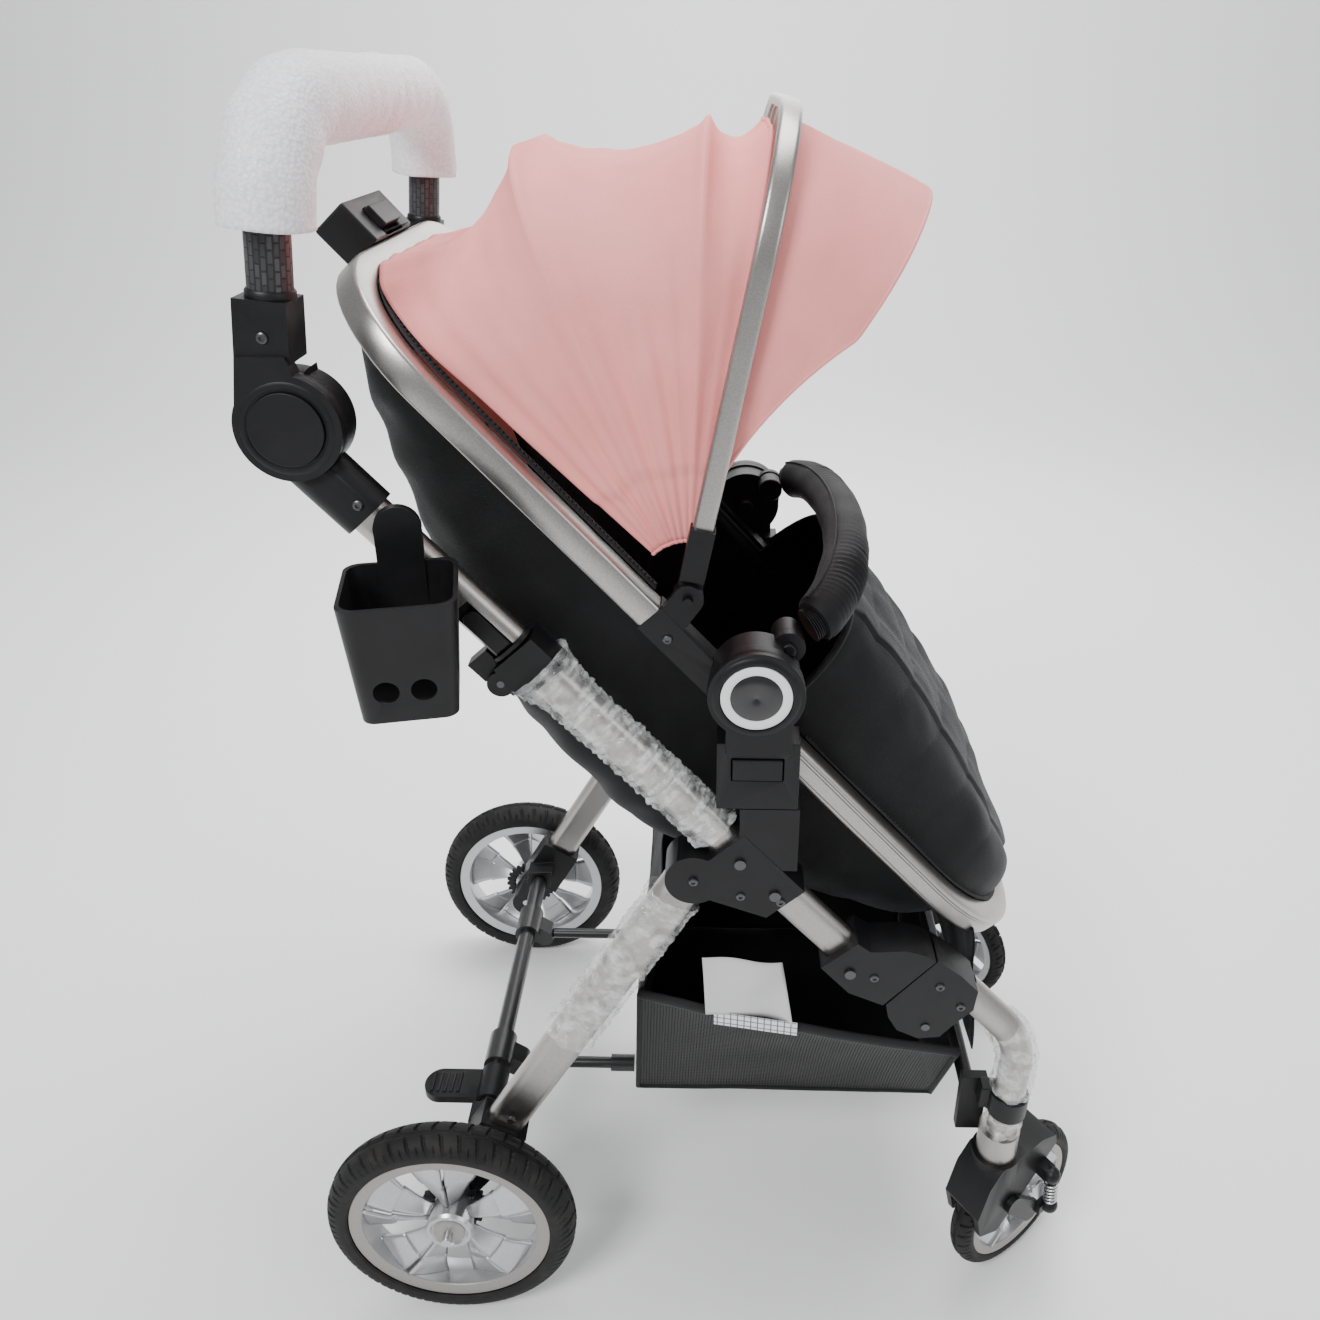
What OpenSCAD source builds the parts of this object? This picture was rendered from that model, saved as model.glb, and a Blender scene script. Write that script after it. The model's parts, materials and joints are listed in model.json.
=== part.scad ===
// Baby stroller with a reversible seat, swivel front wheels and a shopping basket.
// Lengths are in millimetres, +X forwards, +Y to the rider's left, +Z up.

/* [Frame] */
// Half the distance between the two main frame tubes
frame_y = 213; // [210:1:218]
// Long axis of the oval frame tube
tube_w = 34; // [32:1:34]
// Short axis of the oval frame tube
tube_t = 22; // [20:1:22]
// Downward slope of the main frame tube, degrees
slope = 47.83; // [47:0.01:49]

/* [Wheels] */
// Radius of a rear wheel over its tyre
rear_r = 125; // [120:1:125]
// Radius of a front wheel over its tyre
front_r = 85; // [80:1:85]
// Half the distance between the rear wheels' centre planes
rear_track = 255; // [254:1:258]
// Angle that each front caster is turned inwards at rest
caster_turn = 36; // [30:1:38]

/* [Seat] */
// Half the width of the seat ring, to the middle of its tube
ring_w = 187; // [185:1:187]
// Side of the square seat ring tube
ring_t = 24; // [20:1:24]
// Length of the seat ring from end to end
ring_len = 849; // [840:1:852]

/* [Canopy] */
// Distance from the canopy pivot to the top of the main bow
bow_r = 364; // [355:1:366]
// Half the width of the canopy cloth
canopy_w = 180; // [170:1:181]

/* [Handle] */
// Diameter of the leather covered handle tube
grip_d = 31; // [28:1:32]
// Diameter of the foam sleeve
sleeve_d = 50; // [44:1:52]

/* [Hidden] */
$fn = 48;

// Running gap of a pin in its bore
run = 0.05;
// Where the middle of the object's box lies, so that the origin is under it
mid_x = 263;
mid_y = -22;

// Main tube: the end of the handle arm, and the tube's directions in the side view
arm_end = [-2, 869];
along = [cos(slope), -sin(slope)];
below = [-sin(slope), -cos(slope)];
collar_t = 150;
collar_end = 188;
bracket_t = 403;
bracket_end = 483;
knuckle_t = 558;
tube_end = 612;

// Pivots, in the side view
handle_hub = [-45, 939];
fold_pin = [28, 166];
rear_pivot = [242, 536];
front_pivot = [456, 371];
seat_hub = [292, 722];
canopy_pivot = [237, 790];
crossbar = [24, 180];
bumper_pivot = [318, 748];
caster_x = 548;
fork_top = 181;

// Wheels
wheel_bore = 5;
rear_leg_deg = 239.5;
trail = 40;
front_track = 210;
swivel_r = 9;

// Handle
grip_base = [-50, 1024];
grip_lean = 6;
grip_rise = 127;
grip_bend = 75;
hub_r = 39;

// Seat ring plane
ring_top = [-21, 1025];
ring_r0 = 92;
ring_r1 = 141;
ring_gap = [338, 511];

// Colours
black = [0.05, 0.05, 0.055];
cloth = [0.07, 0.07, 0.075];
silver = [0.72, 0.71, 0.69];
pink = [0.90, 0.58, 0.56];

function on_tube(t, n) = arm_end + along * t + below * n;
function on_ring(s, d) = ring_top + along * s + below * d;
function mix(a, b, f) = a + (b - a) * f;
function ring_half(s, w) =
    let (r0 = ring_r0 - (ring_w - w), r1 = ring_r1 - (ring_w - w), e = ring_w - w,
         a = s - e, b = ring_len - e - s)
    a < r0 ? w - r0 + sqrt(max(0, r0 * r0 - (r0 - a) * (r0 - a)))
    : b < r1 ? w - r1 + sqrt(max(0, r1 * r1 - (r1 - b) * (r1 - b)))
    : w;

// Everything is drawn about the rear axle, and moved once to the object's origin
module placed() { translate([-mid_x, -mid_y, 0]) children(); }
module right_side() { placed() children(); }
module left_side() { placed() mirror([0, 1, 0]) children(); }
module both_sides() {
    placed() {
        children();
        mirror([0, 1, 0]) children();
    }
}

// Places children at a side-view point, level, on the plane y
module at(p, y = 0) { translate([p[0], y, p[1]]) children(); }
// A cylinder along Y from y0 to y1, centred on a side-view point
module yrod(p, r, y0, y1) { translate([p[0], y0, p[1]]) rotate([-90, 0, 0]) cylinder(r = r, h = y1 - y0); }
// A side-view outline given as [x, z] points, from y0 to y1
module plate(y0, y1) { translate([0, y1, 0]) rotate([90, 0, 0]) linear_extrude(y1 - y0) children(); }
// The frame of the main tube: X below it, Y sideways, Z down along it
module tube_frame(y = -frame_y) {
    translate([arm_end[0], y, arm_end[1]]) rotate([0, 90 + slope, 0]) children();
}
// An outline given below and down the main tube, from y0 to y1 beside the tube's middle
module tube_plate(y0, y1) {
    tube_frame() translate([0, y1, 0]) rotate([90, 0, 0]) linear_extrude(y1 - y0) children();
}
// The frame of the seat ring: X below it, Y sideways, Z from top to foot
module ring_frame() { translate([ring_top[0], 0, ring_top[1]]) rotate([0, 90 + slope, 0]) children(); }
module stadium(w, t) {
    square([w - t, t], center = true);
    for (s = [-1, 1]) translate([s * (w - t) / 2, 0]) circle(d = t);
}
module oval_bar(w, t, z0, z1) { translate([0, 0, z0]) linear_extrude(z1 - z0) stadium(w, t); }
module oval_tube(w, t, wall, z0, z1) {
    translate([0, 0, z0]) linear_extrude(z1 - z0) difference() {
        stadium(w, t);
        stadium(w - 2 * wall, t - 2 * wall);
    }
}
// A rounded slab: outline from two circles of radius r, in the side view
module link(p, q, r, y0, y1) {
    d = q - p;
    plate(y0, y1) {
        translate(p) circle(r = r);
        translate(q) circle(r = r);
        translate(p) rotate(atan2(d[1], d[0])) translate([0, -r]) square([norm(d), 2 * r]);
    }
}

// A closed shell between two grids of points, outer and inner
module skin(outer, inner) {
    m = len(outer);
    k = len(outer[0]);
    flat = [for (row = outer) for (p = row) p];
    back = [for (row = inner) for (p = row) p];
    n = m * k;
    faces = concat(
        [for (i = [0:m - 2]) for (j = [0:k - 2]) each
            [[i * k + j, i * k + j + 1, (i + 1) * k + j + 1], [i * k + j, (i + 1) * k + j + 1, (i + 1) * k + j]]],
        [for (i = [0:m - 2]) for (j = [0:k - 2]) each
            [[n + i * k + j, n + (i + 1) * k + j + 1, n + i * k + j + 1],
             [n + i * k + j, n + (i + 1) * k + j, n + (i + 1) * k + j + 1]]],
        [for (i = [0:m - 2]) each
            [[i * k, (i + 1) * k, n + (i + 1) * k], [i * k, n + (i + 1) * k, n + i * k],
             [i * k + k - 1, n + (i + 1) * k + k - 1, (i + 1) * k + k - 1],
             [i * k + k - 1, n + i * k + k - 1, n + (i + 1) * k + k - 1]]],
        [for (j = [0:k - 2]) each
            [[j, n + j, n + j + 1], [j, n + j + 1, j + 1],
             [(m - 1) * k + j, (m - 1) * k + j + 1, n + (m - 1) * k + j + 1],
             [(m - 1) * k + j, n + (m - 1) * k + j + 1, n + (m - 1) * k + j]]]);
    polyhedron(points = concat(back, flat), faces = faces);
}
// Points of a U from (-w, h0) up to h1 and back down at w, with corner radius c
function u_curve(w, h0, h1, c) = concat(
    [[-w, h0], [-w, (h0 + h1 - c) / 2]],
    [for (a = [0:18:90]) [-w + c - c * cos(a), h1 - c + c * sin(a)]],
    [for (a = [90:-18:0]) [w - c + c * cos(a), h1 - c + c * sin(a)]],
    [[w, (h0 + h1 - c) / 2], [w, h0]]);

// ---------------------------------------------------------------- chassis

module tube_hole(t0, t1) { tube_frame() oval_bar(tube_w + 0.2, tube_t + 0.2, t0, t1); }

module lower_tubes() {
    color(silver) both_sides() tube_frame() oval_tube(tube_w, tube_t, 2, 172, tube_end - 8);
}

module bracket_outline() {
    p0 = on_tube(bracket_t, -22);
    p1 = on_tube(bracket_end, -22);
    p2 = on_tube(bracket_end, 22);
    p3 = rear_pivot + [14, -21];
    p4 = rear_pivot + [-14, 21];
    p5 = on_tube(bracket_t, 18);
    polygon([p0, p1, p2, p3, p4, p5]);
    translate(rear_pivot) circle(r = 25);
}
// Post that takes the tongue of the seat adapter
module seat_post() {
    translate([281, -229.6, 548]) cube([50, 28.6, 64]);
}
module mid_bracket() {
    difference() {
        union() {
            plate(-230, -196) bracket_outline();
            seat_post();
        }
        tube_hole(bracket_t - 30, bracket_end + 30);
        // Room for the rear leg, from its open place to its folded place
        plate(-frame_y - 10.6, -frame_y + 10.6) {
            translate(rear_pivot) circle(r = 22.5);
            for (a = [0, 6, 12]) translate(rear_pivot) rotate(rear_leg_deg + a) translate([0, -21.6]) square([60, 43.2]);
        }
        yrod(rear_pivot, 4 + run, -235, -190);
        // Pocket for the adapter's tongue
        translate([287.6, -221.4, 581.6]) cube([36.8, 12.8, 40]);
    }
}
module mid_brackets() { color(black) both_sides() mid_bracket(); }

// Parting line between the two knuckles, from its top to its foot
knuckle_top = [460, 450];
knuckle_foot = [416, 396];
module upper_knuckle() {
    difference() {
        union() {
            plate(-232, -194) polygon([on_tube(knuckle_t, -21), [400, 460], [432, 462], knuckle_top + [-9, 6],
                knuckle_top + [-1, 0], knuckle_foot + [-1, 0.8], on_tube(knuckle_t + 40, 22), on_tube(knuckle_t, 22)]);
            // Tongue that carries the hinge pin
            plate(-frame_y - 10.8, -frame_y + 10.8) {
                translate(front_pivot) circle(r = 13);
                polygon([front_pivot + [12, 4], front_pivot + [-10, -8], knuckle_foot + [-8, 6], knuckle_foot + [20, 34]]);
            }
        }
        tube_hole(knuckle_t - 30, tube_end - 2);
        yrod(front_pivot, 4 + run, -240, -190);
    }
}
module upper_knuckles() { color(black) both_sides() upper_knuckle(); }

// Collar on the lower tube, with the cheeks of the fold hinge
module fold_socket() {
    difference() {
        union() {
            tube_frame() translate([-21, -15.5, collar_t + 2.5]) cube([42, 28, collar_end - collar_t - 2.5]);
            for (y = [-12.4, 8]) tube_plate(y, y + 4.4) {
                translate(fold_pin) circle(r = 11);
                translate([10, 156]) square([18, 24]);
            }
        }
        tube_frame() oval_bar(tube_w + 0.2, tube_t + 0.2, 172, collar_end + 9);
        tube_frame() translate([13, -7.8, collar_t]) cube([30, 15.6, 31]);
        tube_plate(-20, 20) translate(fold_pin) circle(r = 3 + run);
    }
}
module fold_sockets() { color(black) both_sides() fold_socket(); }

// Hinge pins of the folds, the rear legs and the front knuckles
module frame_pins() {
    color(silver) both_sides() {
        yrod(rear_pivot, 4, -231, -195);
        yrod(front_pivot, 4, -233, -193);
        yrod(on_tube(fold_pin[1], fold_pin[0]), 3, -225.4, -200.6);
        for (t = [bracket_t + 20, bracket_end - 14])
            yrod(on_tube(t, 0), 5, -232.5, -230.1);
        yrod(on_tube(knuckle_t + 22, 6), 5, -234.5, -232.1);
    }
}

// ------------------------------------------------------------- push frame

module upper_tubes() {
    color(silver) both_sides() difference() {
        tube_frame() oval_tube(tube_w, tube_t, 2, -40, 147);
        // Window for the slider, on the outer face
        tube_frame() translate([-6, -12, 98]) cube([18, 6, 60]);
    }
}

module handle_arm() {
    difference() {
        union() {
            tube_frame(-frame_y - 1.5) oval_bar(45, 27.4, -62, 1.5);
            plate(-219.4, -200.6) polygon([on_tube(-60, -22), on_tube(-60, 22.4), on_tube(-96, 21), on_tube(-100, -54)]);
            yrod(handle_hub, hub_r, -219.4, -200.6);
        }
        tube_hole(-41, 3);
        // Room for the turning head of the handle
        yrod(handle_hub, hub_r + 0.8, -236, -219.4);
    }
    yrod(handle_hub, 7, -231, -219.4);
}
module handle_arms() { color(black) both_sides() handle_arm(); }

// Plug in the end of the upper tube, with the tongue of the fold hinge
module fold_hinges() {
    p = on_tube(fold_pin[1], fold_pin[0]);
    color(black) both_sides() difference() {
        union() {
            tube_frame() oval_bar(tube_w - 4.2, tube_t - 4.2, 90, 147.2);
            tube_frame(-frame_y - 1.2) oval_bar(40, 26, 147.2, 150.5);
            tube_frame() translate([17.2, -7, 138]) cube([20.8, 14, 20]);
            yrod(p, 10, -frame_y - 7, -frame_y + 7);
        }
        tube_frame() translate([-7, -12, 88]) cube([20, 5, 59]);
        yrod(p, 3 + run, -240, -190);
    }
}
module fold_slider() {
    tube_frame() {
        translate([-5, -13.2, 112]) cube([15, 6, 33]);
        translate([-5, -13.2, 112]) rotate([-90, 0, 0]) translate([7.5, 0, 0]) cylinder(r = 7.5, h = 6);
    }
}

module cup_holder() {
    wall = 3;
    base = [26, -236, 748];
    turn = 12;
    high = 94;
    color(black) placed() difference() {
        union() {
            translate(base) rotate([0, 0, turn]) {
                difference() {
                    cup_body(0, 0, high);
                    cup_body(wall, wall, high + 2);
                }
                // Hook plate behind the cup, round at the top
                translate([-17, -10, 8]) cube([34, 8, high + 18]);
                translate([0, -2, high + 26]) rotate([90, 0, 0]) cylinder(r = 17.2, h = 8);
            }
            // Bracket between the hook plate and the tube
            translate([8, -242, 800]) cube([26, 17.8, 26]);
        }
        translate(base) rotate([0, 0, turn]) {
            for (x = [-14, 12]) translate([x, -70, 26]) rotate([90, 0, 0]) cylinder(r = 9, h = 40);
            translate([-16, -110, -1]) cube([30, 20, 9]);
        }
    }
}
module cup_body(inset, floor_z, high) {
    low = 34 - inset;
    top = 41 - inset;
    hull() {
        translate([0, -44, floor_z]) for (x = [-1, 1]) for (y = [-1, 1])
            translate([x * (low - 10), y * (low - 10), 0]) cylinder(r = 10, h = 1, $fn = 32);
        translate([0, -46, high - 1]) for (x = [-1, 1]) for (y = [-1, 1])
            translate([x * (top - 12), y * (top - 12), 0]) cylinder(r = 12, h = 1, $fn = 32);
    }
}

// ----------------------------------------------------------------- handle

module handle_frame() {
    translate([grip_base[0], 0, grip_base[1]]) rotate([0, grip_lean, 0]) children();
}
// A U of round section through the handle frame, starting at height h0
module handle_u(h0, d, bore) {
    module ring_2d() {
        difference() {
            circle(d = d);
            if (bore > 0) circle(d = bore);
        }
    }
    handle_frame() {
        for (s = [-1, 1]) {
            translate([0, s * frame_y, h0]) linear_extrude(grip_rise - grip_bend - h0) ring_2d();
            translate([0, s * (frame_y - grip_bend), grip_rise - grip_bend]) rotate([0, 0, s * 90])
                rotate([90, 0, 0]) rotate_extrude(angle = 90) translate([grip_bend, 0]) ring_2d();
        }
        translate([0, -(frame_y - grip_bend), grip_rise]) rotate([-90, 0, 0])
            linear_extrude(2 * (frame_y - grip_bend)) ring_2d();
    }
}
module handle_bracket() {
    difference() {
        union() {
            yrod(handle_hub, hub_r, -234, -219.8);
            plate(-234, -219.8) polygon([[-81, 950], [-74, 990], [-39, 990], [-30, 960]]);
            plate(-231, -196) polygon([[-76, 984], [-70, 1030], [-33, 1026], [-37, 984]]);
        }
        handle_frame() translate([0, -frame_y, -31]) cylinder(d = grip_d + 0.2, h = 60);
        yrod(handle_hub, 7 + run, -240, -219);
        yrod(handle_hub, 27.4, -237, -230);
    }
}
module handle_brackets() { color(black) both_sides() handle_bracket(); }
module handle_tube() { color([0.09, 0.085, 0.08]) placed() handle_u(-30, grip_d, 0); }
module handle_sleeve() { color([0.93, 0.93, 0.94]) placed() handle_u(50, sleeve_d, grip_d + 0.4); }
module hub_button() {
    difference() {
        yrod(handle_hub, 27, -237, -232.3);
        yrod(handle_hub, 9, -233.5, -232);
    }
}

// ------------------------------------------------------------ front frame

module lower_knuckle() {
    difference() {
        plate(-231.6, -194.4) polygon([knuckle_top + [0.6, 0], [482, 434], [500, 415], [498, 392], [482, 374],
            [470, 358], [450, 356], [430, 366], [421, 382], knuckle_foot + [2, 1]]);
        // Slot for the upper knuckle's tongue, as wide as the fold turns it
        plate(-frame_y - 11.2, -frame_y + 11.2) {
            translate(front_pivot) circle(r = 14.5);
            polygon([front_pivot + [14, 4], front_pivot + [6, 78], [400, 470], [380, 380], [400, 340], front_pivot + [4, -14]]);
        }
        yrod(front_pivot, 4 + run, -240, -190);
        leg_shape(30.2, 0);
    }
}
module lower_knuckles() { color(black) both_sides() lower_knuckle(); }

// Curved front leg: a straight start, a bend, and a straight foot
leg_foot = [549, 182];
leg_rise = 118;
leg_bend_r = 80;
leg_bend_deg = 45;
module leg_shape(d, bore) {
    module ring_2d() {
        difference() {
            circle(d = d);
            if (bore > 0) circle(d = bore);
        }
    }
    translate([leg_foot[0], -front_track, leg_foot[1]]) rotate([0, 2, 0]) {
        linear_extrude(leg_rise) ring_2d();
        translate([-leg_bend_r, 0, leg_rise]) {
            rotate([90, 0, 0]) rotate_extrude(angle = leg_bend_deg) translate([leg_bend_r, 0]) ring_2d();
            rotate([0, -leg_bend_deg, 0]) translate([leg_bend_r, 0, 0]) linear_extrude(58) ring_2d();
        }
    }
}
module front_legs() {
    color(silver) both_sides() {
        leg_shape(30, 25);
        // Socket for the caster stem
        difference() {
            translate([caster_x, -front_track, fork_top + 0.4]) cylinder(r = 20, h = 32);
            translate([caster_x, -front_track, fork_top - 6]) cylinder(r = swivel_r + run, h = 36.2);
        }
    }
}
module front_crossbar() {
    color(black) placed() {
        yrod([522, 226], 8, -193.5, 193.5);
        for (s = [-1, 1]) translate([509, s * 189.3 - 5.1, 190]) cube([26, 10.2, 72]);
    }
}
module leg_clips() {
    color(black) both_sides() difference() {
        translate([leg_foot[0] + 2, -front_track, 238]) rotate([0, 2, 0]) union() {
            cylinder(r = 19, h = 26);
            translate([-27, 0, 0]) cube([20, 15.5, 26]);
        }
        leg_shape(30.4, 0);
    }
}

// Caster frame: X along the wheel's heading, Z up the swivel axis
module caster_frame() { translate([caster_x, -front_track, 0]) rotate([0, 0, caster_turn]) children(); }
arm_pivot = [8, 118];
module arm_pins(r) {
    for (y = [-15.9, 28.4]) translate([arm_pivot[0], y, arm_pivot[1]]) rotate([90, 0, 0]) cylinder(r = r, h = 12.5);
}
module fork() {
    caster_frame() {
        difference() {
            union() {
                translate([0, 0, 150]) cylinder(r = 24, h = fork_top - 150);
                // Hood over the wheel
                rotate([90, 0, 0]) translate([0, 0, -22]) linear_extrude(44) polygon([[-34, 98], [-42, 128],
                    [-30, 164], [-14, fork_top - 0.2], [24, fork_top - 0.2], [46, fork_top + 1.4], [68, 174], [72, 160], [22, 112], [-8, 86]]);
            }
            // Room for the wheel, at every place that the suspension gives it
            translate([trail, 15.5, front_r]) rotate([90, 0, 0]) cylinder(r = front_r + 6, h = 31);
            arm_pins(4 + run);
        }
        translate([0, 0, fork_top - 2]) cylinder(r = swivel_r, h = 32);
        // Upper spring seat, on the outer side
        translate([52, -35, 140]) sphere(r = 9);
        translate([44, -34, 134]) cube([14, 16, 14]);
    }
}
module suspension_arm() {
    caster_frame() {
        for (y = [-28.5, 22.5]) translate([0, y + 6, 0]) rotate([90, 0, 0]) linear_extrude(6) {
            translate(arm_pivot) circle(r = 10);
            translate([trail, front_r]) circle(r = 12);
            polygon([arm_pivot + [6, 8], [trail + 8, front_r + 9], [trail - 9, front_r - 8], arm_pivot - [7, 7]]);
        }
        arm_pins(4);
        translate([trail, 28.4, front_r]) rotate([90, 0, 0]) cylinder(r = wheel_bore, h = 56.8);
        // Lower spring seat
        translate([58, -35, 90]) sphere(r = 9);
        translate([44, -34.5, 82]) cube([14, 8, 12]);
    }
}
module spring() {
    caster_frame() translate([57.2, -35, 99.8]) rotate([0, -8, 0]) linear_extrude(31) difference() {
        circle(r = 7.5);
        circle(r = 5);
    }
}

// A wheel lies in its own plane: Z is its axle
module tyre_2d(r, half, depth) {
    difference() {
        union() {
            translate([r - half, 0]) circle(r = half);
            translate([r - depth, -half]) square([depth - half, 2 * half]);
        }
        translate([r - depth - half, -half]) square([half, 2 * half]);
    }
}
module tyre(r, half, depth) { rotate_extrude($fn = 96) tyre_2d(r, half, depth); }
module rim(r, depth, half, spokes, hub, hub_half) {
    outer = r - depth - 0.05;
    difference() {
        union() {
            rotate_extrude($fn = 96) translate([outer - 9, -half]) square([9, 2 * half]);
            cylinder(r = hub, h = 2 * hub_half, center = true);
            for (i = [0:spokes - 1]) rotate([0, 0, i * 360 / spokes]) translate([hub - 3, -4, -half * 0.5])
                cube([outer - hub - 3, 8, half]);
        }
        cylinder(r = wheel_bore + run, h = 100, center = true);
    }
}
module front_wheel_frame() { caster_frame() translate([trail, 0, front_r]) rotate([90, 0, 0]) children(); }
module front_rim() { front_wheel_frame() rim(front_r, 15, 11, 8, 13, 19); }
module front_tyre() { front_wheel_frame() tyre(front_r, 13, 15); }

// ------------------------------------------------------------- rear frame

module rear_leg_frame() {
    translate([rear_pivot[0], -frame_y, rear_pivot[1]]) rotate([0, 90 - rear_leg_deg, 0]) children();
}
module rear_leg() {
    difference() {
        union() {
            rear_leg_frame() oval_bar(40, 20, 8, 400);
            yrod(rear_pivot, 20.5, -frame_y - 10.3, -frame_y + 10.3);
        }
        yrod(rear_pivot, 4 + run, -240, -190);
    }
}
module rear_legs() { color(silver) both_sides() rear_leg(); }
module wheel_housing() {
    difference() {
        union() {
            rear_leg_frame() translate([-25, -15, 372]) cube([50, 30, 66]);
            plate(-231, -199) {
                translate([0, rear_r]) circle(r = 19);
                polygon([[-19, rear_r], on_leg(430) + [-20, 8], on_leg(430) + [20, -8], [19, rear_r]]);
            }
            plate(-202, -178) {
                translate(crossbar) circle(r = 16);
                polygon([crossbar + [-14, -12], crossbar + [-14, 16], on_leg(392), crossbar + [12, -10]]);
            }
        }
        rear_leg_frame() oval_bar(40.2, 20.2, 360, 400.1);
        yrod(crossbar, 10.1, -196.1, -170);
        yrod([0, rear_r], wheel_bore, -240, -190);
    }
}
function on_leg(s) = rear_pivot + s * [cos(rear_leg_deg), sin(rear_leg_deg)];
module wheel_housings() { color(black) both_sides() wheel_housing(); }
module rear_crossbar() {
    color(black) placed() {
        yrod(crossbar, 10, -196, 196);
        for (s = [-1, 1]) {
            yrod(crossbar, 15, s * 100 - 20, s * 100 + 20);
            link(crossbar, rod_start, 11, s * 100 - 11, s * 100 + 11);
        }
    }
}
rod_start = [44, 166];
module basket_rods() {
    color(black) placed() for (s = [-1, 1]) {
        translate([55.2, s * 100, rod_start[1]]) rotate([0, 90, 0]) cylinder(r = 6, h = 92);
        translate([147.2, s * 100, rod_start[1]]) rotate([0, 90, 0]) cylinder(r = 9, h = 26);
    }
}
module rear_axles() {
    color(silver) both_sides() yrod([0, rear_r], wheel_bore, -284, -200);
}
module brake_pedal() {
    color(black) placed() difference() {
        union() {
            yrod(crossbar, 15, -168, -128);
            translate([-30, -166, 178]) cube([50, 36, 9]);
            translate([-30, -148, 178]) cylinder(r = 18, h = 9);
            for (i = [0:4]) translate([-40 + i * 7, -160, 186]) cube([3, 24, 3]);
        }
        yrod(crossbar, 10 + run, -170, -126);
    }
}
module rear_wheel_frame() { translate([0, -rear_track, rear_r]) rotate([90, 0, 0]) children(); }
module rear_rim() { rear_wheel_frame() rim(rear_r, 24, 15, 10, 22, 18); }
module rear_tyre() { rear_wheel_frame() tyre(rear_r, 19, 24); }

// -------------------------------------------------------------- seat unit

module seat_adapter() {
    difference() {
        union() {
            yrod(seat_hub, hub_r, -233, -216);
            yrod(seat_hub, 7, -216, -180);
            translate([268, -233, 668]) cube([54, 17, 40]);
            translate([261, -230, 613]) cube([68, 28.6, 64]);
            translate([288, -221, 582]) cube([36, 12, 32]);
        }
        // Window of the release button
        translate([273, -235, 641]) cube([43, 14, 22]);
        yrod(seat_hub, 29, -240, -231.5);
    }
}
module seat_adapters() { color(black) both_sides() seat_adapter(); }
module hub_rings() {
    color("white") both_sides() difference() {
        yrod(seat_hub, 28.8, -234.5, -231.6);
        yrod(seat_hub, 21, -236, -231);
    }
    color(black) both_sides() yrod(seat_hub, 20.8, -234.2, -231.6);
}
module seat_latch() { translate([274, -231.5, 642]) cube([41, 7, 20]); }

// The ring's outline: s downwards along the ring, and y across it
module ring_outline(w) {
    e = ring_w - w;
    r0 = ring_r0 - e;
    r1 = ring_r1 - e;
    s0 = e;
    s1 = ring_len - e;
    for (m = [-1, 1]) {
        translate([s0 + r0, m * (w - r0)]) circle(r = r0, $fn = 96);
        translate([s1 - r1, m * (w - r1)]) circle(r = r1, $fn = 96);
    }
    translate([s0 + r0, -w]) square([s1 - s0 - r0 - r1, 2 * w]);
    translate([s0, -(w - r0)]) square([r0 + 1, 2 * (w - r0)]);
    translate([s1 - r1 - 1, -(w - r1)]) square([r1 + 1, 2 * (w - r1)]);
}
module ring_band(s0, s1) {
    ring_frame() rotate([0, -90, 0]) translate([0, 0, -ring_t / 2]) linear_extrude(ring_t) intersection() {
        difference() {
            ring_outline(ring_w + ring_t / 2);
            ring_outline(ring_w - ring_t / 2);
        }
        translate([s0, -300]) square([s1 - s0, 600]);
    }
}
module seat_ring_upper() { color(silver) placed() ring_band(-20, ring_gap[0]); }
module seat_ring_lower() { color(silver) placed() ring_band(ring_gap[1], ring_len + 20); }

module ring_connector() {
    outer = ring_w + ring_t / 2;
    difference() {
        union() {
            ring_frame() translate([-13, -outer, ring_gap[0] + 0.1])
                cube([26, ring_t, ring_gap[1] - ring_gap[0] - 0.2]);
            yrod(seat_hub, 37, -215.6, -190);
            // Foot that carries the canopy hinge
            link(canopy_pivot, on_ring(355, 0), 12.6, -outer + 0.4, -192);
            // Foot that carries the bumper bar
            link(bumper_pivot, seat_hub, 14, -outer + 0.4, -190.6);
        }
        yrod(seat_hub, 7 + run, -240, -170);
        yrod(canopy_pivot, 4 + run, -240, -170);
        yrod(bumper_pivot, 6 + run, -240, -170);
    }
}
module ring_connectors() { color(black) both_sides() ring_connector(); }

// Seat tub: depth below the ring plane at stations down the seat
tub_stations = [16, 60, 120, 200, 300, 400, 470, 560, 650, 740, 800, 832];
function tub_depth(s) =
    s < 460 ? 18 + 172 * pow(sin(90 * (s - 10) / 450), 0.9)
    : 190 - 176 * pow((s - 460) / 375, 1.7);
function tub_row(s, inset) =
    let (w = ring_half(s, ring_w - ring_t / 2 - 1) - inset, d = max(tub_depth(s) - inset, -5), c = min(60, w * 0.6, (d + 6) * 0.85))
    [for (p = u_curve(w, -6, d, c)) let (q = on_ring(s, p[1])) [q[0], p[0], q[1]]];
module seat_tub() {
    color(cloth) placed()
        skin([for (s = tub_stations) tub_row(s, 0)], [for (s = tub_stations) tub_row(s, 7)]);
}
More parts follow.
